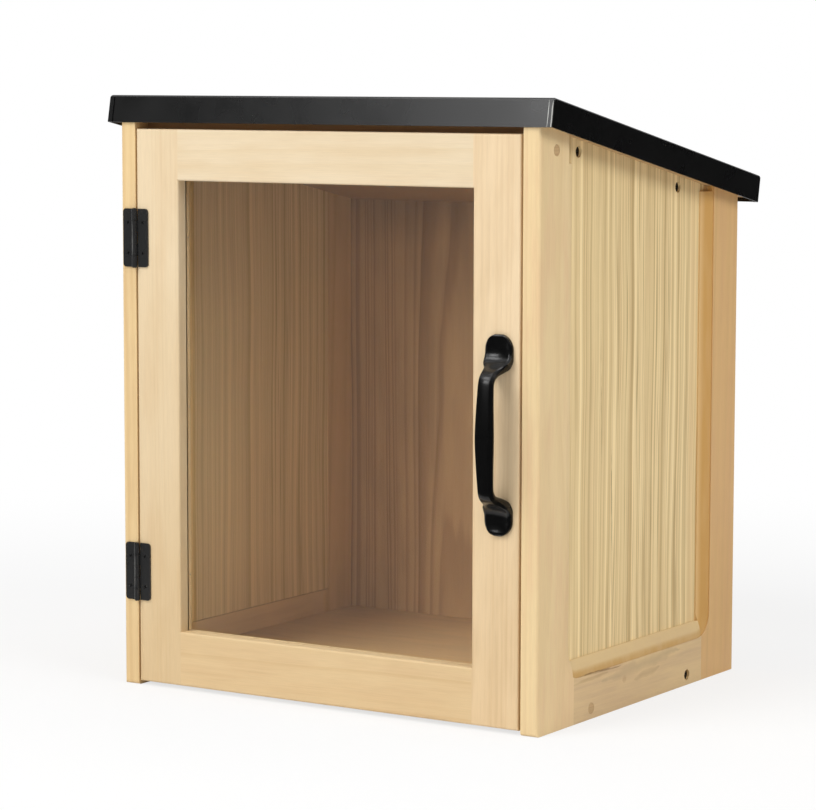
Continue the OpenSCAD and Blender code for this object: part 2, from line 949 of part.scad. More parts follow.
module upper_hinge_moving_leaf() {
    moving_leaf(upper_hinge_z);
}

module upper_hinge_pin() {
    hinge_pin(upper_hinge_z);
}

module lower_hinge_fixed_leaf() {
    fixed_leaf(lower_hinge_z);
}

module lower_hinge_moving_leaf() {
    moving_leaf(lower_hinge_z);
}

module lower_hinge_pin() {
    hinge_pin(lower_hinge_z);
}

module moving_leaf_screw_set(gap = 0) {
    for (height = [lower_hinge_z, upper_hinge_z]) at_hinge(height) leaf_screw_set(gap);
}

module fixed_leaf_screw_set(gap = 0) {
    for (height = [lower_hinge_z, upper_hinge_z]) at_hinge(height) mirror([1, 0, 0]) leaf_screw_set(gap);
}

module hinge_screw_holes() {
    moving_leaf_screw_set(fit_gap);
    fixed_leaf_screw_set(fit_gap);
}

module fixed_leaf_screws() {
    color(black_metal) fixed_leaf_screw_set();
}

module moving_leaf_screws() {
    color(black_metal) moving_leaf_screw_set();
}

// ---------- pull ----------

ring_points = 32;
row_steps = 2;

// Smooth step from 0 to 1
function ease(t) = t * t * (3 - 2 * t);

function mix(a, b, t) = a + (b - a) * t;

// Point on a Catmull-Rom curve through a list of rows, at a position counted in rows
function row_at(rows, index) = rows[min(max(index, 0), len(rows) - 1)];

function spline(rows, position) =
    let (
        i = min(floor(position), len(rows) - 2),
        t = position - i,
        a = row_at(rows, i - 1),
        b = row_at(rows, i),
        c = row_at(rows, i + 1),
        d = row_at(rows, i + 2)
    )
    0.5 * ((2 * b) + (c - a) * t + (2 * a - 5 * b + 4 * c - d) * t * t + (3 * b - a - 3 * c + d) * t * t * t);

// Sections of the bow and of the foot at a share of the half width from the middle. The front of the bow is
// crowned and breaks into bevels, and its back is rounder. The foot is flat behind and dished within its lip
crease = 0.74;
lip_crest = 0.8;

function bow_front(c) =
    c < crease ? 1 - 0.14 * pow(c / crease, 2) : 0.86 - 0.72 * (c - crease) / (1 - crease);

function bow_back(c) = -max(0.02, pow(1 - pow(c, 2.6), 0.5));

function lip_profile(c) =
    c < lip_crest ? pow(c / lip_crest, 2) : 1 - 0.8 * pow((c - lip_crest) / (1 - lip_crest), 2);

// Rows along half of the pull, from its end to its middle. Each gives the front and back of the middle line
// as a distance from the middle of the pull and a distance from the door, then the half width, the height of
// the lip over the dish, and how far the section has changed from that of the foot to that of the bow
foot_half = foot_width / 2;
foot_floor = foot_thickness * 0.6;
foot_lip = foot_thickness - foot_floor;
rise_start = pull_half - foot_length;
bow_end = [rise_start - foot_length * 0.51, rise_start - foot_length * 0.64];
bow_faces = [bow_standoff + bow_thickness / 2, bow_standoff - bow_thickness / 2];

// Row on the round end of a foot, at a share of its radius from the end
function end_row(share, height, lip) =
    let (y = pull_half - foot_half * share)
    [y, foot_thickness * height, y, 0, foot_half * sqrt(1 - pow(1 - share, 2)), foot_lip * lip, 0];

// Row where the foot rises, with the run of its front and back in shares of the length of the foot
function rise_row(front, back, front_height, back_height, width, lip, change) = [
    rise_start - foot_length * front, bow_faces[0] * front_height,
    rise_start - foot_length * back, bow_faces[1] * back_height,
    width, foot_lip * lip, change
];

// Row on the bow, at a share of the way from the middle to its ends
function bow_row(front, back, front_height, back_height, width) = [
    bow_end[0] * front, bow_faces[0] * front_height,
    bow_end[1] * back, bow_faces[1] * back_height,
    bow_width / 2 * width, 0, 1
];

pull_rows = [
    end_row(0.03, 0.73, 0),
    end_row(0.12, 0.93, 0.08),
    end_row(0.25, 0.93, 0.17),
    end_row(0.44, 0.75, 0.62),
    end_row(0.72, 0.62, 0.96),
    end_row(1, 0.6, 1),
    rise_row(-0.3, -0.3, 0.088, 0, foot_half, 1, 0),
    rise_row(-0.15, -0.12, 0.14, 0, foot_half, 0.95, 0.05),
    rise_row(-0.03, 0.02, 0.24, 0, foot_half * 0.93, 0.85, 0.2),
    rise_row(0.06, 0.22, 0.37, 0, foot_half * 0.79, 0.6, 0.45),
    rise_row(0.14, 0.335, 0.53, 0.24, bow_width * 0.5, 0.35, 0.7),
    rise_row(0.23, 0.41, 0.68, 0.54, bow_width * 0.44, 0.12, 0.9),
    rise_row(0.35, 0.5, 0.8, 0.77, bow_width * 0.42, 0, 1),
    bow_row(1, 1, 0.87, 0.91, 0.83),
    bow_row(0.87, 0.9, 0.907, 0.949, 0.84),
    bow_row(0.6, 0.62, 0.951, 0.974, 0.89),
    bow_row(0.29, 0.3, 0.984, 0.987, 0.96),
    bow_row(0, 0, 1, 1, 1)
];

function ring_angle(j) = 360 * j / ring_points;

// Ring of points through a row. What would lie behind the face of the door is flat on it
function pull_ring(row) =
    let (
        front = [row[0], row[1]],
        back = [row[2], row[3]],
        middle = (front + back) / 2,
        reach = norm(front - back) / 2,
        out = (front - back) / (2 * reach),
        change = ease(min(max(row[6], 0), 1))
    )
    [
        for (j = [0:ring_points - 1])
            let (
                x = cos(ring_angle(j)),
                c = abs(x),
                face = reach * mix(1, bow_front(c), change) + row[5] * lip_profile(c),
                rear = reach * mix(-1, bow_back(c), change),
                p = middle + out * (sin(ring_angle(j)) >= 0 ? face : rear)
            )
            [x * row[4], p[0], max(0, p[1])]
    ];

half_steps = (len(pull_rows) - 1) * row_steps;
half_rings = [for (k = [0:half_steps]) pull_ring(spline(pull_rows, k / row_steps))];
pull_rings = concat(
    half_rings,
    [for (k = [half_steps - 1:-1:0]) [for (p = half_rings[k]) [p[0], -p[1], p[2]]]]
);

// Middle of a ring between its point at the front and its point at the back
function ring_middle(ring) = (ring[len(ring) / 4] + ring[len(ring) * 3 / 4]) / 2;

// Tube through rings of equal length, closed by fans about the middles of its first and last ring
module loft(rings) {
    count = len(rings[0]);
    last = (len(rings) - 1) * count;
    start = len(rings) * count;
    points = concat(
        [for (ring = rings) each ring],
        [ring_middle(rings[0]), ring_middle(rings[len(rings) - 1])]
    );
    walls = [
        for (k = [0:len(rings) - 2], j = [0:count - 1])
            let (
                a = k * count + j,
                b = k * count + (j + 1) % count,
                c = a + count,
                d = b + count
            )
            each [[a, b, d], [a, d, c]]
    ];
    fans = [
        for (j = [0:count - 1])
            let (next = (j + 1) % count)
            each [[start, next, j], [start + 1, last + j, last + next]]
    ];
    polyhedron(points, concat(walls, fans));
}

// Places a child drawn with x across, y up and z out from the door at the middle of the pull
module at_pull() {
    translate([pull_x, front_y, pull_height]) rotate([90, 0, 0]) children();
}

module handle() {
    color(black_metal) difference() {
        at_pull() loft(pull_rings);
        handle_screw_set(fit_gap);
    }
}

pull_screw_bite = 4.5;
pull_screw_head = 2.4;

// Machine screws from the back of the door into the feet
module handle_screw_set(gap = 0) {
    for (side = [-1, 1])
        at_pull() translate([0, side * (pull_half - pull_screw_inset), -door_thickness]) mirror([0, 0, 1])
            pan_head(
                door_thickness + pull_screw_bite, pull_screw_diameter,
                pull_screw_diameter * 2, pull_screw_head, gap
            );
}

module handle_screws() {
    color(steel) handle_screw_set();
}

// ---------- catch ----------

// Middle of the catch across the cabinet, and the depth of its front
catch_side_gap = 2;
catch_x = inner_half - catch_length / 2 - catch_side_gap;
catch_front = door_thickness + strike_thickness + catch_gap;
pole_reach = 0.7;
pole_thickness = 1.5;
magnet_width = 14;
magnet_height = 6;
magnet_depth = 7;
magnet_wall = 2.5;
ear_height = 3;
ear_length = (catch_length - magnet_width) / 2 - magnet_wall;

// Places a child drawn with x across, y back and z down from the underside of the header
module at_catch() {
    translate([catch_x, front_y + catch_front, header_bottom]) mirror([0, 0, 1]) children();
}

// Seat of the magnet and its two pole plates
module magnet_seat() {
    height = magnet_height + 2 * pole_thickness;
    translate([-magnet_width / 2, pole_reach - past, (catch_height - height) / 2])
        cube([magnet_width, magnet_depth + past, height]);
}

module catch_housing() {
    color("ivory") difference() {
        at_catch() difference() {
            translate([-catch_length / 2, pole_reach, 0]) cube([catch_length, catch_depth, catch_height]);
            for (side = [-1, 1])
                translate([side * (catch_length - ear_length) / 2, 0, ear_height + catch_height / 2])
                    cube([ear_length + 2 * fit_gap, catch_depth * 3, catch_height], center = true);
            magnet_seat();
        }
        catch_screw_set(fit_gap);
    }
}

module catch_magnet() {
    at_catch() translate([-magnet_width / 2, 0, catch_height / 2]) {
        color("dimgray") translate([0, pole_reach, -magnet_height / 2])
            cube([magnet_width, magnet_depth, magnet_height]);
        color(steel) for (side = [0, 1]) mirror([0, 0, side]) translate([0, 0, magnet_height / 2])
            cube([magnet_width, magnet_depth + pole_reach, pole_thickness]);
    }
}

// Screws up through the ears of the housing into the header
module catch_screw_set(gap = 0) {
    for (side = [-1, 1])
        at_catch() translate([
            side * (catch_length - ear_length) / 2,
            header_thickness / 2 - (catch_front - stop_depth),
            ear_height
        ]) countersunk(small_screw_length, small_screw_diameter, small_screw_head, gap);
}

module catch_screws() {
    color(zinc) catch_screw_set();
}

// The strike plate is lower than the catch, so that it passes under the header
strike_width = 18;
strike_clearance = 0.5;
strike_height = catch_height - 2 * strike_clearance;

// Places a child on the back of the door behind the poles of the catch, with z pointing back
module at_strike() {
    translate([catch_x, front_y + door_thickness, header_bottom - catch_height / 2]) rotate([-90, 0, 0])
        children();
}

module strike_plate() {
    color(steel) difference() {
        at_strike() translate([-strike_width / 2, -strike_height / 2, 0])
            cube([strike_width, strike_height, strike_thickness]);
        strike_screw_set(fit_gap);
    }
}

module strike_screw_set(gap = 0) {
    at_strike() translate([0, 0, strike_thickness])
        countersunk(small_screw_length, small_screw_diameter, small_screw_head, gap);
}

module strike_screw() {
    color(zinc) strike_screw_set();
}

// ---------- drawing ----------

right_front_stile();
right_rear_stile();
right_bottom_rail();
right_field_panel();
left_front_stile();
left_rear_stile();
left_bottom_rail();
left_field_panel();
side_dowels();
side_screws();
screw_plugs();
floor_panel();
back_panel();
back_screws();
header_rail();
ceiling_panel();
roof_board();
roof_screws();
roof_cap();
cap_screws();
door_hinge_stile();
door_latch_stile();
door_top_rail();
door_bottom_rail();
door_dowels();
window_pane();
bead_left();
bead_right();
bead_top();
bead_bottom();
bead_pins();
upper_hinge_fixed_leaf();
upper_hinge_moving_leaf();
upper_hinge_pin();
lower_hinge_fixed_leaf();
lower_hinge_moving_leaf();
lower_hinge_pin();
fixed_leaf_screws();
moving_leaf_screws();
handle();
handle_screws();
catch_housing();
catch_magnet();
catch_screws();
strike_plate();
strike_screw();
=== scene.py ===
"""Street book exchange box: a small pine cabinet with framed sides, one glazed door and a sloping sheet
roof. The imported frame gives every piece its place; this script gives them wood, paint, glass and light."""

import math
import random

import bmesh
import bpy
from mathutils import Matrix, Vector


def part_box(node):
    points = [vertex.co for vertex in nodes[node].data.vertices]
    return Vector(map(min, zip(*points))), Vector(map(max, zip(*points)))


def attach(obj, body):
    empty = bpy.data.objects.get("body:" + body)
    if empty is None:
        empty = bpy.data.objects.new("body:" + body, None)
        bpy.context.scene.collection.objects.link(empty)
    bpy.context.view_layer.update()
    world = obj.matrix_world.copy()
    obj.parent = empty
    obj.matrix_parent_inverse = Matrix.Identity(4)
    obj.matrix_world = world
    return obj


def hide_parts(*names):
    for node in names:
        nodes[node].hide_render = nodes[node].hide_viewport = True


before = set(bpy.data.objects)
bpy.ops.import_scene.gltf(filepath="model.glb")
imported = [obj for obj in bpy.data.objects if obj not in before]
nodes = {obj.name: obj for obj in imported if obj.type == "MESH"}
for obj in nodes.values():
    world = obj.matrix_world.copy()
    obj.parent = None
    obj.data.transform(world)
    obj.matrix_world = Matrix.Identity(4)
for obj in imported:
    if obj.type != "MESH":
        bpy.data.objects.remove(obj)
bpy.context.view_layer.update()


# ---------- side frames ----------
# Two stiles and a bottom rail on each side, planed pine that has weathered under clear oil. The rail is
# dowelled between the stiles, and a moulding is run round the inside of the frame.

def paint(red, green, blue):
    """A colour as seen on screen, 0 to 255, as the linear colour that a shader takes."""
    linear = [c / 255 / 12.92 if c <= 10 else ((c / 255 + 0.055) / 1.055) ** 2.4 for c in (red, green, blue)]
    return (*linear, 1.0)


def wire(tree, kind, inputs=None, **settings):
    """One shader node with its settings, and with a value or a link on each named input."""
    made = tree.nodes.new(kind)
    for key, value in settings.items():
        setattr(made, key, value)
    for key, value in (inputs or {}).items():
        if isinstance(value, bpy.types.NodeSocket):
            tree.links.new(value, made.inputs[key])
        else:
            made.inputs[key].default_value = value
    return made


def sums(tree, operation, *values, clamp=False):
    inputs = dict(enumerate(values))
    return wire(tree, "ShaderNodeMath", inputs, operation=operation, use_clamp=clamp).outputs[0]


def vectors(tree, operation, *values):
    inputs = {i: v if isinstance(v, bpy.types.NodeSocket) else tuple(v) for i, v in enumerate(values)}
    return wire(tree, "ShaderNodeVectorMath", inputs, operation=operation).outputs[0]


def measure(tree, operation, *values):
    inputs = {i: v if isinstance(v, bpy.types.NodeSocket) else tuple(v) for i, v in enumerate(values)}
    return wire(tree, "ShaderNodeVectorMath", inputs, operation=operation).outputs["Value"]


def thrice(tree, value):
    """One value as all three parts of a vector."""
    return wire(tree, "ShaderNodeCombineXYZ", {0: value, 1: value, 2: value}).outputs[0]


def in_millimetres(tree, place):
    return vectors(tree, "MULTIPLY", place, (1000, 1000, 1000))


def mixed(tree, share, first, second, blend="MIX"):
    made = wire(tree, "ShaderNodeMix", {0: share}, data_type="RGBA", blend_type=blend, clamp_result=True)
    for key, value in ((6, first), (7, second)):
        if isinstance(value, bpy.types.NodeSocket):
            tree.links.new(value, made.inputs[key])
        else:
            made.inputs[key].default_value = value
    return made.outputs[2]


def ranged(tree, value, low, high, to_low=0.0, to_high=1.0, smooth=True):
    kind = "SMOOTHSTEP" if smooth else "LINEAR"
    inputs = {0: value, 1: low, 2: high, 3: to_low, 4: to_high}
    return wire(tree, "ShaderNodeMapRange", inputs, interpolation_type=kind).outputs[0]


def noise(tree, position, detail=2.0, rough=0.5, output="Fac", dimensions="3D"):
    inputs = {"Scale": 1.0, "Detail": detail, "Roughness": rough}
    inputs["W" if dimensions == "1D" else "Vector"] = position
    made = wire(tree, "ShaderNodeTexNoise", inputs, noise_dimensions=dimensions)
    return made.outputs[output]


def new_group(name, inputs, outputs):
    """A shader node group with its sockets, and its input and output nodes."""
    tree = bpy.data.node_groups.new(name, "ShaderNodeTree")
    for side, sockets in (("INPUT", inputs), ("OUTPUT", outputs)):
        for label, kind in sockets:
            tree.interface.new_socket(name=label, in_out=side, socket_type="NodeSocket" + kind)
    return tree, tree.nodes.new("NodeGroupInput").outputs, tree.nodes.new("NodeGroupOutput")


def make_pine_grain():
    """Growth rings round a pith on the Z axis, with the grain along Z. Position is in millimetres."""
    tree, given, result = new_group(
        "pine grain",
        [("Position", "Vector"), ("Ring Width", "Float"), ("Contrast", "Float"), ("Wander", "Float"),
         ("Pale", "Color"), ("Dark", "Color"), ("Stain", "Color"), ("Stain Share", "Float")],
        [("Color", "Color"), ("Latewood", "Float"), ("Height", "Float")],
    )
    position, wander = given["Position"], given["Wander"]
    slow = noise(tree, vectors(tree, "MULTIPLY", position, (1 / 38, 1 / 38, 1 / 330)), 1.0, 0.5, "Color")
    quick = noise(tree, vectors(tree, "MULTIPLY", position, (1 / 7, 1 / 7, 1 / 90)), 1.0, 0.5, "Color")
    slow = vectors(tree, "SUBTRACT", slow, (0.5, 0.5, 0.5))
    quick = vectors(tree, "SUBTRACT", quick, (0.5, 0.5, 0.5))
    shift = vectors(tree, "ADD", vectors(tree, "MULTIPLY", slow, (1, 1, 0)),
                    vectors(tree, "MULTIPLY", quick, (0.16, 0.16, 0)))
    size = wire(tree, "ShaderNodeCombineXYZ", {0: wander, 1: wander, 2: 0.0}).outputs[0]
    moved = vectors(tree, "ADD", position, vectors(tree, "MULTIPLY", shift, size))
    radius = measure(tree, "LENGTH", vectors(tree, "MULTIPLY", moved, (1, 1, 0)))
    ring = sums(tree, "DIVIDE", radius, given["Ring Width"])
    uneven = noise(tree, sums(tree, "MULTIPLY", ring, 0.45), 1.0, 0.5, dimensions="1D")
    ring = sums(tree, "ADD", ring, sums(tree, "MULTIPLY", uneven, 2.4))
    phase = sums(tree, "FRACT", ring)
    year = wire(tree, "ShaderNodeTexWhiteNoise", {"W": sums(tree, "FLOOR", ring)}, noise_dimensions="1D")
    ramp = wire(tree, "ShaderNodeValToRGB", {0: phase})
    ramp.color_ramp.interpolation = "EASE"
    stops = [(0.0, 0.22), (0.16, 0.0), (0.45, 0.12), (0.8, 0.8), (0.9, 1.0), (1.0, 0.22)]
    while len(ramp.color_ramp.elements) < len(stops):
        ramp.color_ramp.elements.new(0.5)
    for element, (place, level) in zip(ramp.color_ramp.elements, stops):
        element.position = place
        element.color = (level, level, level, 1)
    strength = ranged(tree, year.outputs["Value"], 0.0, 1.0, 0.3, 1.0, smooth=False)
    latewood = sums(tree, "MULTIPLY", ramp.outputs[0], strength)
    fibre = noise(tree, vectors(tree, "MULTIPLY", position, (1.9, 1.9, 1 / 16)), 2.0, 0.6)
    fibre = sums(tree, "SUBTRACT", fibre, 0.5)
    patch = noise(tree, vectors(tree, "MULTIPLY", position, (1 / 16, 1 / 16, 1 / 75)), 2.0, 0.55)
    streak = noise(tree, vectors(tree, "MULTIPLY", position, (1 / 2.6, 1 / 2.6, 1 / 240)), 1.0, 0.5)
    patch = sums(tree, "MULTIPLY", ranged(tree, patch, 0.38, 0.66), ranged(tree, streak, 0.3, 0.7, 0.35, 1.0))
    colour = mixed(tree, sums(tree, "MULTIPLY", latewood, given["Contrast"], clamp=True),
                   given["Pale"], given["Dark"])
    stained = sums(tree, "MULTIPLY", patch, given["Stain Share"], clamp=True)
    colour = mixed(tree, stained, colour, given["Stain"])
    light = sums(tree, "ADD", 1.0, sums(tree, "MULTIPLY", fibre, 0.16))
    colour = vectors(tree, "MULTIPLY", colour, thrice(tree, light))
    tree.links.new(colour, result.inputs["Color"])
    tree.links.new(latewood, result.inputs["Latewood"])
    height = sums(tree, "ADD", fibre, sums(tree, "MULTIPLY", latewood, 0.4))
    tree.links.new(height, result.inputs["Height"])
    return tree


PINE_GRAIN = make_pine_grain()

# How a board's length is turned onto the Z axis of the grain
TURNS = {"x": (0, -math.pi / 2, 0), "y": (math.pi / 2, 0, 0), "z": (0, 0, 0)}


def start_material(name):
    """A new material, its nodes, its shader and the place of each point on the piece, in metres."""
    material = bpy.data.materials.new(name)
    material.use_nodes = True
    tree = material.node_tree
    return material, tree, tree.nodes["Principled BSDF"], wire(tree, "ShaderNodeTexCoord").outputs["Object"]


def pine(name, along, pith, pale, dark, ring, contrast, wander, stain=(150, 128, 98), stain_share=0.25,
         tilt=(0.0, 0.0), rough=0.5, change=None):
    """Oiled pine. Along is the axis of the grain, and pith the place of the middle of the tree as the grain
    sees it. Ring is the width of a year's ring and wander how far the rings stray, all in millimetres. Tilt
    is the lean of the tree in degrees, and change a function that works on the colour."""
    material, tree, shader, place = start_material(name)
    turn = [a + math.radians(b) for a, b in zip(TURNS[along], (*tilt, 0.0))]
    inputs = {"Vector": place, "Location": (-pith[0], -pith[1], pith[2]), "Rotation": turn,
              "Scale": (1000, 1000, 1000)}
    position = wire(tree, "ShaderNodeMapping", inputs).outputs[0]
    inputs = {"Position": position, "Ring Width": ring, "Contrast": contrast, "Wander": wander,
              "Pale": paint(*pale), "Dark": paint(*dark), "Stain": paint(*stain), "Stain Share": stain_share}
    grain = wire(tree, "ShaderNodeGroup", inputs, node_tree=PINE_GRAIN)
    colour = grain.outputs["Color"]
    if change:
        colour = change(tree, place, colour)
    tree.links.new(colour, shader.inputs["Base Color"])
    tree.links.new(ranged(tree, grain.outputs["Latewood"], 0, 1, rough + 0.06, rough - 0.08, smooth=False),
                   shader.inputs["Roughness"])
    inputs = {"Height": grain.outputs["Height"], "Strength": 0.25, "Distance": 0.00025}
    tree.links.new(wire(tree, "ShaderNodeBump", inputs).outputs[0], shader.inputs["Normal"])
    shader.inputs["Coat Weight"].default_value = 0.12
    shader.inputs["Coat Roughness"].default_value = 0.3
    shader.inputs["Specular IOR Level"].default_value = 0.35
    return material


def dress(material, *names):
    """Gives CAD nodes a material in place of their plain one."""
    for name in names:
        for place in nodes[name].material_slots:
            place.material = material


def make_moulding_painted_light():
    """Painted light and shade on the moulding that is run below the face of a side frame: a golden painted
    shade near the face, where light bounces warm in the hollow, and a pale painted highlight toward the
    field. Gold Depth is how far down the golden tone goes. It works in metres, and Reach is how far back from
    the middle the tones may go."""
    tree, given, result = new_group(
        "moulding painted light and shade",
        [("Position", "Vector"), ("Face", "Float"), ("Field", "Float"), ("Reach", "Float"),
         ("Color", "Color"), ("Gold", "Color"), ("Pale", "Color"), ("Gold Depth", "Float"),
         ("Share", "Float")],
        [("Color", "Color")],
    )
    apart = wire(tree, "ShaderNodeSeparateXYZ", {0: vectors(tree, "ABSOLUTE", given["Position"])}).outputs
    depth = sums(tree, "SUBTRACT", given["Face"], apart[0])
    above_field = ranged(tree, sums(tree, "SUBTRACT", apart[0], given["Field"]), -0.0006, -0.0002)
    within_reach = ranged(tree, sums(tree, "SUBTRACT", given["Reach"], apart[1]), 0.0, 0.004)
    uneven = noise(tree, vectors(tree, "MULTIPLY", given["Position"], (90, 90, 14)), 2.0, 0.6)
    uneven = sums(tree, "MULTIPLY", given["Share"], ranged(tree, uneven, 0.3, 0.65, 0.75, 1.1))
    cut = ranged(tree, depth, 0.0004, 0.0009)
    for limit in (above_field, within_reach, uneven):
        cut = sums(tree, "MULTIPLY", cut, limit)
    deep = ranged(tree, sums(tree, "DIVIDE", depth, given["Gold Depth"]), 0.75, 1.7)
    tone = mixed(tree, deep, given["Gold"], given["Pale"])
    tree.links.new(mixed(tree, sums(tree, "MULTIPLY", cut, 1.0, clamp=True), given["Color"], tone),
                   result.inputs["Color"])
    return tree


def make_line_mask():
    """Mask of a line from one point to another, thin at its ends. All is in millimetres."""
    tree, given, result = new_group(
        "line mask",
        [("Position", "Vector"), ("From", "Vector"), ("To", "Vector"), ("Width", "Float"),
         ("Waver", "Float")],
        [("Mask", "Float")],
    )
    shake = noise(tree, vectors(tree, "MULTIPLY", given["Position"], (1 / 18,) * 3), 2.0, 0.5, "Color")
    shake = vectors(tree, "SUBTRACT", shake, (0.5, 0.5, 0.5))
    shake = vectors(tree, "MULTIPLY", shake, thrice(tree, given["Waver"]))
    moved = vectors(tree, "ADD", given["Position"], shake)
    run = vectors(tree, "SUBTRACT", given["To"], given["From"])
    start = vectors(tree, "SUBTRACT", moved, given["From"])
    along_run, run_squared = measure(tree, "DOT_PRODUCT", start, run), measure(tree, "DOT_PRODUCT", run, run)
    share = sums(tree, "DIVIDE", along_run, run_squared, clamp=True)
    nearest = vectors(tree, "ADD", given["From"], vectors(tree, "MULTIPLY", run, thrice(tree, share)))
    away = measure(tree, "DISTANCE", moved, nearest)
    from_middle = sums(tree, "ABSOLUTE", sums(tree, "SUBTRACT", sums(tree, "MULTIPLY", share, 2.0), 1.0))
    thin = sums(tree, "SUBTRACT", 1.0, sums(tree, "POWER", from_middle, 3.0))
    width = sums(tree, "MULTIPLY", given["Width"], sums(tree, "MAXIMUM", thin, 0.05))
    mask = sums(tree, "SUBTRACT", 1.0, sums(tree, "DIVIDE", away, width), clamp=True)
    tree.links.new(sums(tree, "POWER", mask, 0.6), result.inputs["Mask"])
    return tree


MOULDING_PAINTED_LIGHT = make_moulding_painted_light()
LINE_MASK = make_line_mask()


def marked(tree, position, colour, marks):
    """Draws lines over a colour: for each its two ends, width and waver in millimetres, colour and share.
    Some lines are marks of the thing itself, and some are painted light and shade.
    """
    for start, end, width, waver, tone, share in marks:
        inputs = {"Position": position, "From": start, "To": end, "Width": width, "Waver": waver}
        mark = wire(tree, "ShaderNodeGroup", inputs, node_tree=LINE_MASK)
        colour = mixed(tree, sums(tree, "MULTIPLY", mark.outputs["Mask"], share), colour, paint(*tone))
    return colour


side_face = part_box("right_front_stile")[1].x
side_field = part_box("right_field_panel")[1].x
rear_margin = 0.030
moulding_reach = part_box("right_rear_stile")[1].y - rear_margin


def moulded(gold, pale, gold_depth, share, marks=()):
    """A change of colour for a board of a side frame: the painted light and shade of its moulding, then its
    marks.
    """
    def change(tree, place, colour):
        inputs = {"Position": place, "Color": colour, "Face": side_face, "Field": side_field,
                  "Reach": moulding_reach, "Gold": paint(*gold), "Pale": paint(*pale),
                  "Gold Depth": gold_depth, "Share": share}
        edge = wire(tree, "ShaderNodeGroup", inputs, node_tree=MOULDING_PAINTED_LIGHT)
        return marked(tree, in_millimetres(tree, place), edge.outputs["Color"], marks)
    return change


# The golden and pale tones of the moulding are painted shade and painted light, not the colour of the wood.
stile_painted_moulding = moulded((208, 160, 90), (228, 190, 132), 0.0032, 0.95)
rail_marks_and_painted_shadow = [
    # The first line is painted shadow, cast under the quirk at the top of the rail's face.
    ((175, -94, 32.2), (175, -28, 31.0), 1.0, 3.0, (134, 100, 58), 0.85),
    ((175, -104, 27), (175, -44, 29.5), 1.6, 4.0, (176, 142, 98), 0.5),
    ((175, -60, 24), (175, 62, 29), 5.0, 9.0, (186, 160, 124), 0.55),
    ((175, -10, 17), (175, 30, 21), 3.0, 6.0, (178, 146, 106), 0.45),
    ((175, -27, 20), (175, -21, 20.5), 3.0, 2.0, (190, 152, 110), 0.5),
]
rail_moulding_painted_tones = ((206, 164, 98), (226, 197, 146), 0.0011, 0.85)
rail_painted_moulding, rail_painted_moulding_and_marks = moulded(*rail_moulding_painted_tones), moulded(*rail_moulding_painted_tones, rail_marks_and_painted_shadow)
dress(pine("pine right front stile", "z", (-60, -150, 0), (236, 209, 160), (221, 189, 138), 7.0, 0.55, 7.0,
           (228, 192, 148), 0.7, (0.8, 0.3)), "right_front_stile")
dress(pine("pine right rear stile", "z", (60, -20, 30), (222, 181, 124), (204, 162, 104), 9.0, 0.55, 6.0,
           (214, 168, 120), 0.5, (0.5, -0.6), change=stile_painted_moulding), "right_rear_stile")
dress(pine("pine right rail", "y", (-90, -26, 0), (225, 196, 148), (200, 166, 118), 8.0, 0.7, 9.0,
           (204, 172, 136), 0.65, (1.2, 0.8), change=rail_painted_moulding_and_marks), "right_bottom_rail")
dress(pine("pine left front stile", "z", (80, -120, 60), (232, 202, 150), (212, 174, 120), 6.0, 0.6, 6.0,
           (206, 170, 122), 0.45, (-0.6, 0.5)), "left_front_stile")
dress(pine("pine left rear stile", "z", (-70, 60, 90), (222, 187, 136), (198, 160, 108), 7.0, 0.6, 7.0,
           (196, 162, 116), 0.4, (0.7, 0.4), change=stile_painted_moulding), "left_rear_stile")
dress(pine("pine left rail", "y", (70, -30, 40), (224, 192, 144), (200, 162, 114), 7.0, 0.6, 8.0,
           (204, 168, 130), 0.5, (-1.0, 0.8), change=rail_painted_moulding), "left_bottom_rail")


# ---------- field panels ----------
# A thin board in the rebate of each side frame, glued up from two quarter-sawn pine staves whose strong
# upright stripes show all the way up. It is held loose so that it can swell.

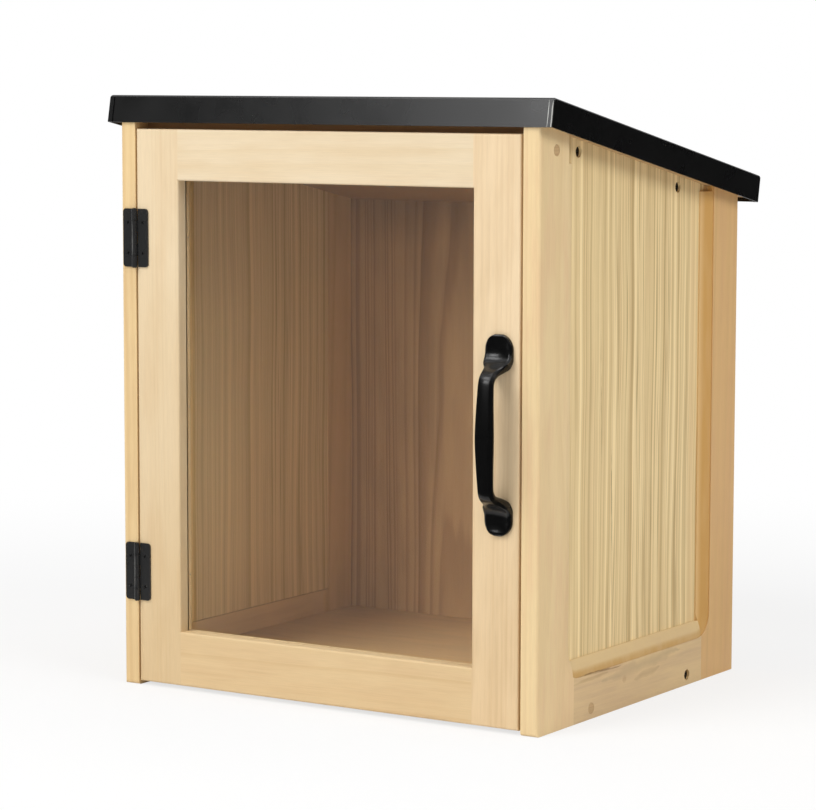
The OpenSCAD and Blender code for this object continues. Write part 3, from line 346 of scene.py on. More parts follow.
def make_stave_stripes():
    """Stripes of quarter-sawn staves: broad light and dark bands, with fine dark lines that are closer in the
    second stave. The grain runs up, and Position is in millimetres."""
    tree, given, result = new_group(
        "stave stripes",
        [("Position", "Vector"), ("Second Stave", "Float"), ("Color", "Color"), ("Light", "Color"),
         ("Deep", "Color"), ("Line", "Color")],
        [("Color", "Color")],
    )
    lean = noise(tree, vectors(tree, "MULTIPLY", given["Position"], (0, 1 / 70, 1 / 190)), 1.0, 0.5)
    apart = wire(tree, "ShaderNodeSeparateXYZ", {0: given["Position"]}).outputs
    across = sums(tree, "ADD", apart[1], sums(tree, "MULTIPLY", lean, 9.0))
    second = ranged(tree, sums(tree, "SUBTRACT", apart[1], given["Second Stave"]), -2.0, 2.0)
    band = noise(tree, sums(tree, "DIVIDE", across, 8.0), 3.0, 0.7, dimensions="1D")
    colour = mixed(tree, ranged(tree, band, 0.5, 0.62), given["Color"], given["Light"])
    colour = mixed(tree, ranged(tree, band, 0.48, 0.36), colour, given["Deep"])
    place = wire(tree, "ShaderNodeCombineXYZ", {0: 0.0, 1: across, 2: apart[2]}).outputs[0]
    fine = noise(tree, vectors(tree, "MULTIPLY", place, (0, 1 / 1.7, 1 / 170)), 2.0, 0.6)
    elsewhere = vectors(tree, "ADD", vectors(tree, "MULTIPLY", place, (0, 1 / 5, 1 / 300)), (7, 0, 0))
    wide = noise(tree, elsewhere, 1.0, 0.5)
    zone = sums(tree, "DIVIDE", sums(tree, "ADD", across, 300.0), 16.0)
    zone = ranged(tree, noise(tree, zone, 1.0, 0.5, dimensions="1D"), 0.36, 0.6, 0.3, 1.0)
    zone = sums(tree, "MULTIPLY", zone, ranged(tree, second, 0.0, 1.0, 0.35, 1.0))
    line = sums(tree, "MULTIPLY", ranged(tree, fine, 0.52, 0.68), zone)
    line = sums(tree, "ADD", line, ranged(tree, wide, 0.56, 0.7, 0.0, 0.35), clamp=True)
    colour = mixed(tree, sums(tree, "MULTIPLY", line, 0.7), colour, given["Line"])
    tree.links.new(colour, result.inputs["Color"])
    return tree


STAVE_STRIPES = make_stave_stripes()


def striped(light, deep, line, second_stave, marks=()):
    """A change of colour for a field panel: its stripes, then its marks."""
    def change(tree, place, colour):
        position = in_millimetres(tree, place)
        inputs = {"Position": position, "Color": colour, "Second Stave": second_stave,
                  "Light": paint(*light), "Deep": paint(*deep), "Line": paint(*line)}
        stripes = wire(tree, "ShaderNodeGroup", inputs, node_tree=STAVE_STRIPES)
        return marked(tree, position, stripes.outputs["Color"], marks)
    return change


field_marks_and_painted_glow = [
    ((169, -34.8, 186), (169, -32.6, 96), 0.55, 1.6, (96, 72, 44), 0.9),
    ((169, -33.2, 120), (169, -31.4, 44), 0.5, 1.2, (150, 120, 80), 0.7),
    ((169, -51.0, 268), (169, -48.8, 168), 0.5, 2.0, (150, 120, 80), 0.75),
    # This pale band is painted light: light bounced off the rear moulding onto the field.
    ((169, 85.5, -60), (169, 85.5, 460), 5.0, 1.0, (242, 210, 156), 0.6),
]
right_stripes_and_painted_glow = striped((252, 226, 172), (207, 178, 126), (166, 136, 88), -48, field_marks_and_painted_glow)
left_stripes = striped((240, 212, 160), (208, 180, 128), (176, 146, 98), 20)
dress(pine("pine right field", "z", (-40, -260, 0), (236, 210, 157), (219, 190, 136), 5.2, 0.5, 8.0,
           (222, 190, 140), 0.3, (0.35, 0.25), change=right_stripes_and_painted_glow), "right_field_panel")
dress(pine("pine left field", "z", (50, -240, 0), (229, 203, 151), (212, 182, 130), 5.6, 0.5, 8.0,
           (220, 188, 140), 0.3, (-0.4, 0.3), change=left_stripes), "left_field_panel")


# ---------- fixings of the sides ----------
# Beech dowels in the joints, blacked wood screws with cross recesses driven through the sides into the inner
# boards, and a turned pine plug with a softened rim over each screw that is hidden.

DOWEL = pine("dowel wood", "y", (-30, 40, 0), (214, 184, 134), (196, 162, 112), 3.0, 0.4, 3.0)
dress(DOWEL, "side_dowels")


def metal(name, colour, metallic, rough, rough_change=0.1):
    """Metal, plastic or cloth with a fine uneven surface."""
    grain = 400.0
    material, tree, shader, place = start_material(name)
    fine = noise(tree, vectors(tree, "MULTIPLY", place, (grain,) * 3), 3.0, 0.55)
    broad = noise(tree, vectors(tree, "MULTIPLY", place, (grain / 12,) * 3), 2.0, 0.5)
    shade = mixed(tree, ranged(tree, broad, 0.3, 0.7), paint(*colour), paint(*[c * 0.86 for c in colour]))
    tree.links.new(shade, shader.inputs["Base Color"])
    tree.links.new(ranged(tree, broad, 0.3, 0.7, rough - rough_change, rough + rough_change, smooth=False),
                   shader.inputs["Roughness"])
    bumped = wire(tree, "ShaderNodeBump", {"Height": fine, "Strength": 0.1, "Distance": 0.0001})
    tree.links.new(bumped.outputs[0], shader.inputs["Normal"])
    shader.inputs["Metallic"].default_value = metallic
    return material


ZINC = metal("zinc plate", (176, 172, 162), 0.75, 0.42)
BLACK_SCREW = metal("blacked screw", (34, 31, 29), 0.6, 0.36)


def loose_parts(name):
    """The corner points of each loose part of a CAD node."""
    mesh = bmesh.new()
    mesh.from_mesh(nodes[name].data)
    bmesh.ops.remove_doubles(mesh, verts=mesh.verts, dist=1e-6)
    mesh.verts.index_update()
    parts, seen = [], set()
    for start in mesh.verts:
        if start.index in seen:
            continue
        seen.add(start.index)
        part, waiting = [], [start]
        while waiting:
            point = waiting.pop()
            part.append(point.co.copy())
            for edge in point.link_edges:
                other = edge.other_vert(point)
                if other.index not in seen:
                    seen.add(other.index)
                    waiting.append(other)
        parts.append(part)
    mesh.free()
    return parts


def outer_end(points, outward):
    """The middle of the end of a turned part that faces outward, and the length of the part."""
    reach = [point.dot(outward) for point in points]
    end = [point for point, far in zip(points, reach) if max(reach) - far < 1e-6]
    return sum(end, Vector()) / len(end), max(reach) - min(reach)


SCREW_SIDES = 24


def turned_rings(mesh, middle, outward, outline, sides=SCREW_SIDES):
    """Rings of points round an axis at given depths and radii, joined by faces. It returns the rings."""
    across = outward.orthogonal().normalized()
    along = outward.cross(across)
    angles = [2 * math.pi * i / sides for i in range(sides)]
    round_it = [across * math.cos(a) + along * math.sin(a) for a in angles]
    rings = []
    for depth, radius in outline:
        rings.append([mesh.verts.new(middle - outward * depth + way * radius) for way in round_it])
    for upper, lower in zip(rings, rings[1:]):
        for i in range(sides):
            mesh.faces.new((upper[i], upper[(i + 1) % sides], lower[(i + 1) % sides], lower[i]))
    mesh.faces.new(rings[-1])
    return rings


def cross_screw(mesh, middle, outward, outline, arm, half_arm, recess, turn):
    """One screw: a turned outline from the rim of the head down, and a cross recess in the head's flat. Each
    of the twelve corners of the cross takes two of the sides of the rim."""
    recess_taper = 0.55
    rings = turned_rings(mesh, middle, outward, outline)
    rim = rings[0]
    across = outward.orthogonal().normalized()
    along = outward.cross(across)
    corners = []
    for quarter in range(4):
        cosine, sine = math.cos(quarter * math.pi / 2), math.sin(quarter * math.pi / 2)
        for a, b in ((arm, half_arm), (half_arm, half_arm), (half_arm, arm)):
            corners.append(across * (a * cosine - b * sine) + along * (a * sine + b * cosine))
    upper = [mesh.verts.new(middle + corner) for corner in corners]
    lower = [mesh.verts.new(middle - outward * recess + corner * recess_taper) for corner in corners]
    for i in range(len(corners)):
        after = (i + 1) % len(corners)
        outer = [rim[(2 * i + k) % SCREW_SIDES] for k in (3, 2, 1)]
        mesh.faces.new((upper[i], upper[after], *outer))
        mesh.faces.new((upper[i], lower[i], lower[after], upper[after]))
    mesh.faces.new(lower)
    whole = sum(rings, upper + lower)
    bmesh.ops.rotate(mesh, cent=middle, matrix=Matrix.Rotation(turn, 3, outward), verts=whole)


def add_piece(name, mesh, material, body, replaced, sharp=32):
    """A piece of a mesh, smooth but for sharp corners. It stands for CAD nodes and moves with a body."""
    bmesh.ops.recalc_face_normals(mesh, faces=mesh.faces)
    data = bpy.data.meshes.new(name)
    mesh.to_mesh(data)
    mesh.free()
    data.materials.append(material)
    data.shade_smooth()
    data.set_sharp_from_angle(angle=math.radians(sharp))
    piece = bpy.data.objects.new(name, data)
    bpy.context.scene.collection.objects.link(piece)
    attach(piece, body)
    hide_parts(*replaced)


# Head radius, shank radius, and half length, half width and depth of the recess of each kind of screw
WOOD_SCREW = (0.0038, 0.0018, 0.0023, 0.00045, 0.0021)
SMALL_SCREW = (0.0024, 0.0012, 0.0015, 0.0003, 0.0013)

# Length of the pointed end of a screw, and the radius of its tip as a share of the shank's
POINT, TIP = 0.003, 0.2


def countersunk(kind, length):
    head, shank = kind[:2]
    return [(0, head), (head - shank, shank), (length - POINT, shank), (length, shank * TIP)]


def add_screws(name, node, kind, outline, outward, material, body, seed):
    """All the screws of one CAD node. Outward gives the way a head looks from the middle of its screw."""
    turns = random.Random(seed)
    mesh = bmesh.new()
    for points in loose_parts(node):
        way = Vector(outward(sum(points, Vector()) / len(points))).normalized()
        middle, length = outer_end(points, way)
        cross_screw(mesh, middle, way, outline(kind, length), *kind[2:], turns.uniform(0, math.pi / 2))
    add_piece(name, mesh, material, body, [node])


add_screws("side_screw_heads", "side_screws", WOOD_SCREW, countersunk, lambda middle: (middle.x, 0, 0),
           BLACK_SCREW, "cabinet", 3)

plug_rim = 0.00035
mesh = bmesh.new()
for points in loose_parts("screw_plugs"):
    way = Vector((math.copysign(1, points[0].x), 0, 0))
    middle, length = outer_end(points, way)
    radius = max((point - middle - way * (point - middle).dot(way)).length for point in points)
    outline = [(0, radius - plug_rim), (plug_rim * 0.6, radius - plug_rim * 0.2),
               (plug_rim * 1.4, radius), (length, radius)]
    mesh.faces.new(turned_rings(mesh, middle, way, outline, 32)[0])
PLUG = pine("plug wood", "y", (40, -200, 0), (206, 172, 126), (170, 132, 86), 2.4, 0.8, 3.0)
add_piece("wood_plugs", mesh, PLUG, "cabinet", ["screw_plugs"])


# ---------- inner boards ----------
# Floor, back, header and ceiling of plain pine board, butted between the sides. The side screws hold the
# floor, the header and the ceiling, and more screws go through the back into the floor and the ceiling.

def make_tan():
    """A board that is multiplied darker along a direction, from one distance to another. All is in metres."""
    tree, given, result = new_group(
        "tan",
        [("Position", "Vector"), ("Toward", "Vector"), ("Pale At", "Float"), ("Darkest At", "Float"),
         ("Cloud", "Float"), ("Color", "Color"), ("Darker Tone", "Color")],
        [("Color", "Color")],
    )
    far = measure(tree, "DOT_PRODUCT", given["Position"], given["Toward"])
    cloud = noise(tree, vectors(tree, "MULTIPLY", given["Position"], (14, 14, 5)), 2.0, 0.6)
    cloud = sums(tree, "MULTIPLY", ranged(tree, cloud, 0.3, 0.7, -1.0, 1.0), given["Cloud"])
    share = {0: sums(tree, "ADD", far, cloud), 1: given["Pale At"], 2: given["Darkest At"]}
    share = wire(tree, "ShaderNodeMapRange", share).outputs[0]
    tree.links.new(mixed(tree, share, given["Color"], given["Darker Tone"], "MULTIPLY"), result.inputs["Color"])
    return tree


DARKENING = make_tan()


def tanned(toward, pale_at, tanned_at, tone, cloud=0.05):
    """A change of colour for a board that is darker toward one side."""
    def change(tree, place, colour):
        inputs = {"Position": place, "Color": colour, "Toward": toward, "Pale At": pale_at,
                  "Darkest At": tanned_at, "Cloud": cloud, "Darker Tone": paint(*tone)}
        return wire(tree, "ShaderNodeGroup", inputs, node_tree=DARKENING).outputs["Color"]
    return change


# Painted shade: the back board is darkened toward its top and over its inner face, for the shade inside the
# box.
tanned_top = tanned((0, 0, 1), 0.31, 0.385, (176, 168, 164), 0.01)
tanned_inside = tanned((0, -1, 0), -0.144, -0.138, (221, 202, 184), 0.0)


def tanned_back(tree, place, colour):
    return tanned_top(tree, place, tanned_inside(tree, place, colour))


dress(pine("pine floor", "x", (-40, -30, 0), (204, 168, 122), (176, 138, 92), 6.0, 0.6, 7.0,
           tilt=(0.5, 1.5)), "floor_panel")
dress(pine("pine back", "z", (-60, 210, 0), (230, 200, 154), (176, 138, 92), 3.4, 1.1, 7.0, tilt=(0.4, 0.3),
           change=tanned_back), "back_panel")
dress(pine("pine header", "x", (-30, -30, 0), (180, 142, 98), (150, 114, 74), 5.0, 0.7, 5.0,
           tilt=(0.5, 1.0)), "header_rail")
dress(pine("pine ceiling", "x", (-420, -60, 0), (180, 142, 98), (150, 114, 74), 6.0, 0.7, 6.0,
           tilt=(0.5, 1.0)), "ceiling_panel")
slope = math.radians(11)
ROOF_REAR = (0, math.cos(slope), -math.sin(slope))
half_way_up = 0.2
add_screws("back_screw_heads", "back_screws", WOOD_SCREW, countersunk,
           lambda middle: ROOF_REAR if middle.z > half_way_up else (0, 1, 0),
           ZINC, "cabinet", 4)


# ---------- roof ----------
# A pine roof board under a cap folded from black powder-coated sheet, with the side flanges lapped round the
# corners. Screws go up through the ceiling into the board and through the rear flange.

dress(pine("pine roof board", "x", (-380, -30, 0), (206, 172, 126), (180, 142, 98), 7.0, 0.8, 7.0),
      "roof_board")
add_screws("roof_screw_heads", "roof_screws", WOOD_SCREW, countersunk,
           lambda middle: (0, -math.sin(slope), -math.cos(slope)), ZINC, "cabinet", 5)


def black_paint(name, colour, rough, specular, dust_share=0.0, bump=0.06, marks=()):
    """Black paint or powder coat with a fine peel, a breath of dust on what faces up, and lines drawn over
    it, which here are painted highlights and painted shade.
    """
    dust, peel = (96, 94, 88), 260.0
    material, tree, shader, place = start_material(name)
    fine = noise(tree, vectors(tree, "MULTIPLY", place, (peel * 4,) * 3), 2.0, 0.5)
    broad = noise(tree, vectors(tree, "MULTIPLY", place, (peel / 14,) * 3), 3.0, 0.6)
    normal = wire(tree, "ShaderNodeNewGeometry").outputs["Normal"]
    up = wire(tree, "ShaderNodeSeparateXYZ", {0: normal}).outputs[2]
    share = sums(tree, "MULTIPLY", ranged(tree, up, 0.4, 1.0), ranged(tree, broad, 0.35, 0.7, 0.2, 1.0))
    share = sums(tree, "MULTIPLY", share, dust_share)
    colour = mixed(tree, share, paint(*colour), paint(*dust))
    colour = marked(tree, in_millimetres(tree, place), colour, marks)
    tree.links.new(colour, shader.inputs["Base Color"])
    tree.links.new(ranged(tree, broad, 0.2, 0.8, rough - 0.03, rough + 0.05), shader.inputs["Roughness"])
    bumped = wire(tree, "ShaderNodeBump", {"Height": fine, "Strength": bump, "Distance": 0.00008})
    tree.links.new(bumped.outputs[0], shader.inputs["Normal"])
    shader.inputs["Specular IOR Level"].default_value = specular
    return material


# Painted highlights on the edges of the lap at the front right corner of the cap, and painted shade in its
# gap
lap_painted_light_and_shade = [
    ((180.9, -149.9, 405.2), (181.0, -145.2, 428.8), 0.7, 2.2, (226, 226, 220), 0.85),
    ((182.4, -149.9, 405.2), (182.9, -145.2, 428.8), 0.9, 2.6, (4, 4, 4), 0.9),
    ((184.2, -149.9, 405.2), (184.3, -145.2, 428.8), 0.6, 1.8, (196, 196, 190), 0.8),
]
dress(black_paint("powder coated sheet", (8, 8, 8), 0.27, 0.42, dust_share=0.02, marks=lap_painted_light_and_shade), "roof_cap")


def pan_head(kind, length):
    head, shank = kind[:2]
    return [(0, head * 0.66), (0.00018, head * 0.84), (0.0005, head * 0.96), (0.0009, head), (0.0015, head),
            (0.0015, shank), (length - POINT, shank), (length, shank * TIP)]


CAP_SCREW = (*SMALL_SCREW[:2], 0.0012, 0.00026, 0.0009)
add_screws("cap_screw_heads", "cap_screws", CAP_SCREW, pan_head, lambda middle: ROOF_REAR,
           BLACK_SCREW, "cabinet", 6)


# ---------- door frame ----------
# Two stiles and two rails of clear pale pine, dowelled at the corners and sanded flush, with the window
# edges and the outer edges softly rounded. The pane sits in a rebate behind four mitred beads.

sanded = 0.46
# The door stiles grow darker toward the bottom.
tanned_foot = tanned((0, 0, -1), -0.3, -0.05, (243, 235, 220))
less_tanned_foot = tanned((0, 0, -1), -0.3, -0.05, (248, 244, 236))
dress(pine("pine hinge stile", "z", (30, -190, 0), (231, 209, 173), (220, 193, 151), 6.0, 0.5, 6.0,
           (218, 188, 146), 0.4, (0.4, 0.3), sanded, tanned_foot), "door_hinge_stile")
dress(pine("pine latch stile", "z", (-70, -170, 50), (237, 211, 172), (222, 191, 147), 6.5, 0.6, 7.0,
           (214, 184, 142), 0.5, (0.5, -0.4), sanded, less_tanned_foot), "door_latch_stile")
dress(pine("pine top rail", "x", (-160, -30, 0), (231, 211, 178), (222, 197, 156), 7.0, 0.5, 7.0,
           (218, 190, 148), 0.4, (0.5, 0.8), sanded), "door_top_rail")
dress(pine("pine bottom rail", "x", (60, -50, 40), (224, 195, 149), (211, 177, 127), 7.0, 0.55, 7.0,
           (208, 172, 126), 0.4, (0.4, 0.8), sanded), "door_bottom_rail")
dress(DOWEL, "door_dowels")
bead_wood = ((-30, -60, 0), (232, 204, 160), (212, 180, 134), 4.0, 0.5, 4.0)
dress(pine("pine beads", "z", *bead_wood), "bead_left", "bead_right")
dress(pine("pine cross beads", "x", *bead_wood), "bead_top", "bead_bottom")
BRIGHT = metal("bright steel", (196, 194, 188), 0.75, 0.36)
dress(BRIGHT, "bead_pins")


def clear_pane():
    """Clear plastic sheet with faint smears. Lamps shine through it without the bend that the eye sees."""
    material, tree, shader, place = start_material("clear pane")
    shader.inputs["Transmission Weight"].default_value = 1.0
    shader.inputs["IOR"].default_value = 1.45
    shader.inputs["Specular IOR Level"].default_value = 0.12
    smear = noise(tree, vectors(tree, "MULTIPLY", place, (30, 30, 12)), 3.0, 0.6)
    tree.links.new(ranged(tree, smear, 0.4, 0.8, 0.0, 0.006), shader.inputs["Roughness"])
    tint = mixed(tree, smear, paint(252, 253, 252), paint(247, 249, 247))
    tree.links.new(tint, shader.inputs["Base Color"])
    through = wire(tree, "ShaderNodeBsdfTransparent", {"Color": (0.96, 0.97, 0.96, 1)})
    shadow = wire(tree, "ShaderNodeLightPath").outputs["Is Shadow Ray"]
    both = wire(tree, "ShaderNodeMixShader", {0: shadow, 1: shader.outputs[0], 2: through.outputs[0]})
    tree.links.new(both.outputs[0], tree.nodes["Material Output"].inputs["Surface"])
    return material


dress(clear_pane(), "window_pane")


# ---------- hinges ----------
# Two black butt hinges laid on the face: a leaf on the side frame and one on the door, rolled into five
# knuckles round a pin, with two black screws in each leaf.

# The core of each painted highlight line on the knuckles, in millimetres from the middle of the pin: to the
# left, and out in front
knuckle_highlight_core = Vector((0.3, 2.6, 0))
knuckle_highlights = []
for level in ("upper", "lower"):
    low, high = [corner * 1000 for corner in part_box(f"{level}_hinge_pin")]
    highlight_at = (low + high) / 2 - knuckle_highlight_core
    knuckle_highlights.append(((highlight_at.x, highlight_at.y, low.z), (highlight_at.x, highlight_at.y, high.z), 0.8, 0.4, (150, 148, 144), 0.75))
# The hinge paint carries the painted highlight lines on the knuckles.
HINGE_BLACK = black_paint("hinge paint", (40, 40, 40), 0.26, 0.5, marks=knuckle_highlights)
for level in ("upper", "lower"):
    dress(HINGE_BLACK, f"{level}_hinge_fixed_leaf", f"{level}_hinge_moving_leaf")
dress(metal("worn pin", (92, 88, 84), 0.9, 0.35), "upper_hinge_pin", "lower_hinge_pin")
for leaf, body in (("fixed", "cabinet"), ("moving", "door")):
    add_screws(f"{leaf}_leaf_screw_heads", f"{leaf}_leaf_screws", SMALL_SCREW, countersunk,
               lambda middle: (0, -1, 0), HINGE_BLACK, body, 7)


# ---------- pull ----------
# A cast pull in gloss black, held by two machine screws from behind the door. Its skin is drawn over
# sections from the tip of a dished spoon foot to the middle of the bow, which has a crease near each edge
# and a round back.

# The middle of the pull on the face of the door is in metres, and all its other sizes in millimetres
pull_middle = Vector((0.1447, -0.146, 0.2035))
pull_half, foot_length, foot_thickness, foot_half, lip = 68.5, 20, 3, 10.5, 1.2
rise_start = pull_half - foot_length
bow_half, bow_front_end, bow_back_end, bow_front_out, bow_back_out = 7.0, 38.3, 35.7, 24.6, 15.6


def end_section(share, height, lip_share):
    """Section on the round end of a foot, at a share of its radius from the tip. A section holds the place
    along the pull and the distance from the door of its front, the same of its back, its half width, the
    height of the lip, and how far it has changed from a dish to a bow."""
    at = pull_half - foot_half * share
    half = foot_half * math.sqrt(1 - (1 - share) ** 2)
    return [at, foot_thickness * height, at, 0, half, lip * lip_share, 0]


def rise_section(front, back, front_out, back_out, half, lip_share, change):
    """Section where the foot rises, with the run of its front and back in shares of the foot's length."""
    return [rise_start - foot_length * front, bow_front_out * front_out,
            rise_start - foot_length * back, bow_back_out * back_out, half, lip * lip_share, change]


def bow_section(front, back, front_out, back_out, width):
    """Section on the bow, at a share of the way from the middle to its ends."""
    return [bow_front_end * front, bow_front_out * front_out, bow_back_end * back, bow_back_out * back_out,
            bow_half * width, 0, 1]


sections = [
    end_section(0.03, 0.73, 0), end_section(0.12, 0.93, 0.08), end_section(0.25, 0.93, 0.17),
    end_section(0.44, 0.75, 0.62), end_section(0.72, 0.62, 0.96), end_section(1, 0.6, 1),
    rise_section(-0.3, -0.3, 0.088, 0, 10.5, 1, 0), rise_section(-0.15, -0.12, 0.14, 0, 10.5, 0.95, 0.05),
    rise_section(-0.03, 0.02, 0.24, 0, 9.77, 0.85, 0.2), rise_section(0.06, 0.22, 0.37, 0, 8.3, 0.6, 0.45),
    rise_section(0.14, 0.335, 0.53, 0.24, 7, 0.35, 0.7),
    rise_section(0.23, 0.41, 0.68, 0.54, 6.16, 0.12, 0.9), rise_section(0.35, 0.5, 0.8, 0.77, 5.88, 0, 1),
    bow_section(1, 1, 0.87, 0.91, 0.83),
    bow_section(0.87, 0.9, 0.907, 0.949, 0.84), bow_section(0.6, 0.62, 0.951, 0.974, 0.89),
    bow_section(0.29, 0.3, 0.984, 0.987, 0.96), bow_section(0, 0, 1, 1, 1),
]
sections += [[-row[0], row[1], -row[2], *row[3:]] for row in reversed(sections[:-1])]


def between(before, first, second, after, share):
    """A value on the smooth curve through four others, between the middle two."""
    bend = 2 * before - 5 * first + 4 * second - after
    twist = 3 * first - before - 3 * second + after
    return 0.5 * (2 * first + (second - before) * share + bend * share ** 2 + twist * share ** 3)


def section_ring(front_y, front_z, back_y, back_z, half, lip_height, change):
    """Points round one section, closer together at the crease and at the crest of the lip, both of which
    lie at a share of the half width."""
    crease, crest = 0.74, 0.8
    crease_fall, edge_fall, back_power = 0.14, 0.72, 2.6
    middle = Vector((0, (front_y + back_y) / 2, (front_z + back_z) / 2))
    out = Vector((0, front_y - back_y, front_z - back_z))
    reach = out.length / 2
    out.normalize()
    ease = min(1, max(0, change))
    ease = ease * ease * (3 - 2 * ease)
    shares = (0, 0.16, 0.32, 0.46, 0.58, 0.67, 0.72, 0.74, 0.77, 0.8, 0.83, 0.88, 0.93, 0.97, 0.992, 1.0)
    front = []
    for c in shares:
        face = 1 - crease_fall * min(1, c / crease) ** 2
        face -= edge_fall * max(0, c - crease) / (1 - crease)
        lifted = (c / crest) ** 2 if c < crest else 1 - 0.8 * ((c - crest) / (1 - crest)) ** 2
        front.append((c, reach * (1 + (face - 1) * ease) + lip_height * lifted))
    back = []
    for c in (1.0, 0.985, 0.94, 0.86, 0.74, 0.58, 0.4, 0.2, 0):
        rear = -max(0.02, math.sqrt(max(0, 1 - c ** back_power)))
        back.append((c, reach * (-1 + (rear + 1) * ease)))
    right = front + back
    left = [(-c, height) for c, height in reversed(right[1:-1])]
    ring = []
    for c, height in right + left:
        point = middle + out * height + Vector((c * half, 0, 0))
        ring.append(Vector((point.x, point.y, max(0, point.z))))
    return ring


mesh = bmesh.new()
rings, steps = [], 6
for i in range(len(sections) - 1):
    four = [sections[min(max(i + k, 0), len(sections) - 1)] for k in (-1, 0, 1, 2)]
    for step in range(steps + (i == len(sections) - 2)):
        row = [between(*values, step / steps) for values in zip(*four)]
        points = [pull_middle + Vector((p.x, -p.z, p.y)) / 1000 for p in section_ring(*row)]
        rings.append([mesh.verts.new(point) for point in points])
for before, after in zip(rings, rings[1:]):
    for i in range(len(before)):
        following = (i + 1) % len(before)
        mesh.faces.new((before[i], before[following], after[following], after[i]))
for ring in (rings[0], rings[-1]):
    hub = mesh.verts.new(sum((v.co for v in ring), Vector()) / len(ring))
    for i in range(len(ring)):
        mesh.faces.new((ring[i], ring[(i + 1) % len(ring)], hub))
GLOSS_BLACK = black_paint("gloss black casting", (9, 9, 9), 0.23, 0.34, bump=0.02)
add_piece("cast_pull", mesh, GLOSS_BLACK, "door", ["handle"], sharp=50)
dress(BRIGHT, "handle_screws")


# ---------- catch ----------
# A magnetic catch under the header: a white plastic housing with a magnet between two pole plates, and a
# steel strike plate on the back of the door.

dress(metal("catch plastic", (226, 222, 210), 0.0, 0.42), "catch_housing")
dress(metal("magnet and poles", (110, 108, 104), 0.7, 0.4), "catch_magnet")
dress(BRIGHT, "strike_plate")
add_screws("catch_screw_heads", "catch_screws", SMALL_SCREW, countersunk, lambda middle: (0, 0, -1),
           ZINC, "cabinet", 8)
add_screws("strike_screw_head", "strike_screw", SMALL_SCREW, countersunk, lambda middle: (0, 1, 0),
           ZINC, "door", 9)


# ---------- studio ----------
# A pale floor under a white surround, soft lamps from the front, the side and above, dark cards that only
# reflections show, and the camera.

def area_lamp(name, place, aim, size, power):
    """A soft rectangular lamp that looks at a point. Its size is in metres and its power in watts."""
    data = bpy.data.lights.new(name, "AREA")
    data.shape = "RECTANGLE"
    data.size, data.size_y = size
    data.energy = power
    lamp = bpy.data.objects.new(name, data)
    bpy.context.scene.collection.objects.link(lamp)
    lamp.location = place
    lamp.rotation_euler = (Vector(aim) - Vector(place)).to_track_quat("-Z", "Y").to_euler()


area_lamp("front_lamp", (-0.7, -1.6, 2.1), (0, 0, 0.25), (1.4, 1.0), 25)
area_lamp("brow_lamp", (-0.62, -2.2, 1.2), (0, -0.1, 0.42), (0.9, 0.5), 13)
area_lamp("right_lamp", (2.3, -0.5, 1.7), (0, 0, 0.2), (1.4, 1.2), 25)
area_lamp("top_lamp", (0.1, 0.3, 2.6), (0, 0, 0.2), (1.6, 1.6), 16)

FLAG_BLACK = metal("flag cloth", (16, 16, 17), 0.0, 0.9, 0.05)

# Height of the flags that lie just above the floor
lift = 0.002


def flag(name, corners):
    """A dark card that only mirrors see. It keeps the white surround out of black paint and the pane."""
    card = bpy.data.meshes.new(name)
    card.from_pydata(corners, [], [(0, 1, 2, 3)])
    made = bpy.data.objects.new(name, card)
    bpy.context.scene.collection.objects.link(made)
    for ray in ("camera", "diffuse", "transmission", "volume_scatter", "shadow"):
        setattr(made, f"visible_{ray}", False)
    card.materials.append(FLAG_BLACK)


flag("front_flag", [(-3.2, -1.0, 0.0), (-1.35, -2.5, 0.0), (-1.35, -2.5, 2.4), (-3.2, -1.0, 2.4)])
flag("low_front_flag", [(-1.35, -2.5, 0.0), (0.9, -2.5, 0.0), (0.9, -2.5, 0.8), (-1.35, -2.5, 0.8)])
flag("floor_flag", [(-3.2, -2.5, lift), (0.9, -2.5, lift), (0.5, -0.3, lift), (-0.5, -0.3, lift)])
flag("corner_flag", [(0.9, -2.5, 0.0), (2.3, -1.3, 0.0), (2.3, -1.3, 1.1), (0.9, -2.5, 1.1)])
flag("right_flag", [(2.3, -1.3, 0.0), (1.9, 1.0, 0.0), (1.9, 1.0, 1.1), (2.3, -1.3, 1.1)])
flag("right_floor_flag", [(0.22, -1.2, lift), (2.2, -1.3, lift), (1.9, 1.0, lift), (0.22, 0.6, lift)])
flag("rear_flag", [(0.3, 1.9, 0.0), (1.9, 1.0, 0.0), (1.9, 1.0, 1.1), (0.3, 1.9, 1.1)])


def seen_by(tree, *rays):
    """1 for a ray of any of these kinds, and 0 for others."""
    path = wire(tree, "ShaderNodeLightPath").outputs
    seen = path[rays[0]]
    for ray in rays[1:]:
        seen = sums(tree, "MAXIMUM", seen, path[ray])
    return seen


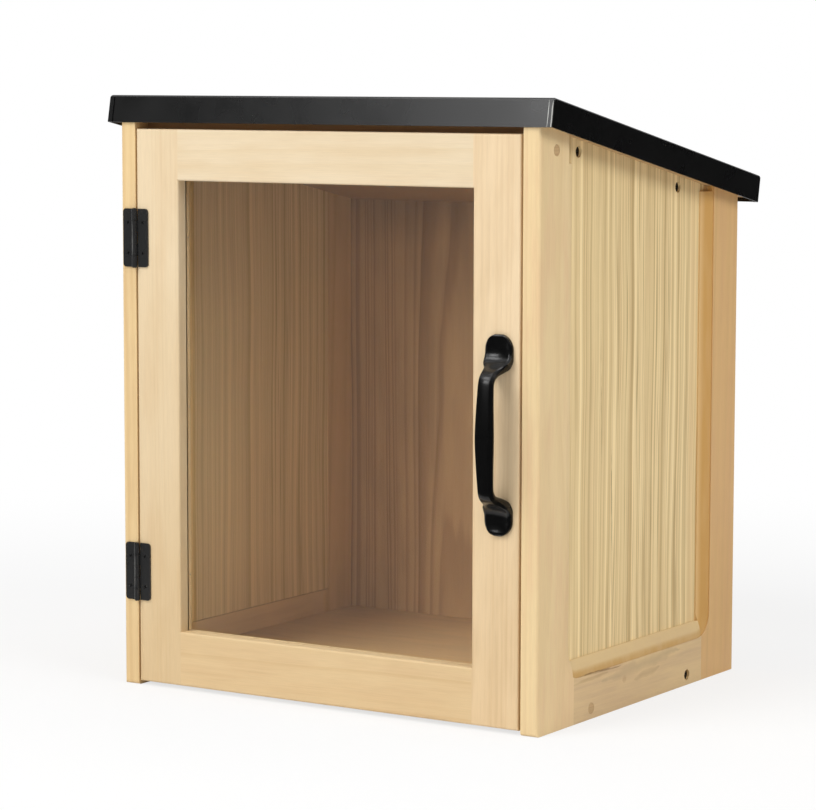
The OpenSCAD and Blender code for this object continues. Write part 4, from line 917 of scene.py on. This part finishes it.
# The surround is white to the eye, a mirror or a pane, and lights the object with less
surround_light = 0.36
world = bpy.data.worlds.new("studio")
bpy.context.scene.world = world
world.use_nodes = True
tree = world.node_tree
sky = tree.nodes["Background"]
sky.inputs["Color"].default_value = (1, 1, 1, 1)
seen = seen_by(tree, "Is Camera Ray", "Is Glossy Ray", "Is Transmission Ray")
tree.links.new(ranged(tree, seen, 0.0, 1.0, surround_light, 1.0, smooth=False), sky.inputs["Strength"])

floor_mesh = bpy.data.meshes.new("studio_floor")
reach = 6.0
floor_corners = [(-reach, -reach, 0), (reach, -reach, 0), (reach, reach, 0), (-reach, reach, 0)]
floor_mesh.from_pydata(floor_corners, [], [(0, 1, 2, 3)])
floor = bpy.data.objects.new("studio_floor", floor_mesh)
bpy.context.scene.collection.objects.link(floor)
floor_paint, tree, shader, place = start_material("floor paint")
tree.nodes.remove(shader)
matt = wire(tree, "ShaderNodeBsdfDiffuse", {"Color": (0.86, 0.86, 0.86, 1)})
glow = wire(tree, "ShaderNodeEmission", {"Color": (1, 1, 1, 1), "Strength": 1.0})
far = ranged(tree, measure(tree, "LENGTH", place), 0.35, 1.1, 0.72, 1.0)
share = sums(tree, "MULTIPLY", seen_by(tree, "Is Camera Ray", "Is Transmission Ray"), far)
both = wire(tree, "ShaderNodeMixShader", {0: share, 1: matt.outputs[0], 2: glow.outputs[0]})
tree.links.new(both.outputs[0], tree.nodes["Material Output"].inputs["Surface"])
floor_mesh.materials.append(floor_paint)

camera_data = bpy.data.cameras.new("camera")
camera_data.sensor_width = 36
camera_data.lens = 135.5
camera = bpy.data.objects.new("camera", camera_data)
bpy.context.scene.collection.objects.link(camera)
camera_place = (1.1990, -1.9044, 0.4447)
degrees_turned, degrees_down, degrees_rolled = 32.67, 6.15, 0.10
camera.matrix_world = (
    Matrix.Translation(camera_place)
    @ Matrix.Rotation(math.radians(degrees_turned), 4, "Z")
    @ Matrix.Rotation(math.radians(90 - degrees_down), 4, "X")
    @ Matrix.Rotation(math.radians(degrees_rolled), 4, "Z")
)
bpy.context.scene.camera = camera
bpy.context.scene.view_settings.view_transform = "Standard"
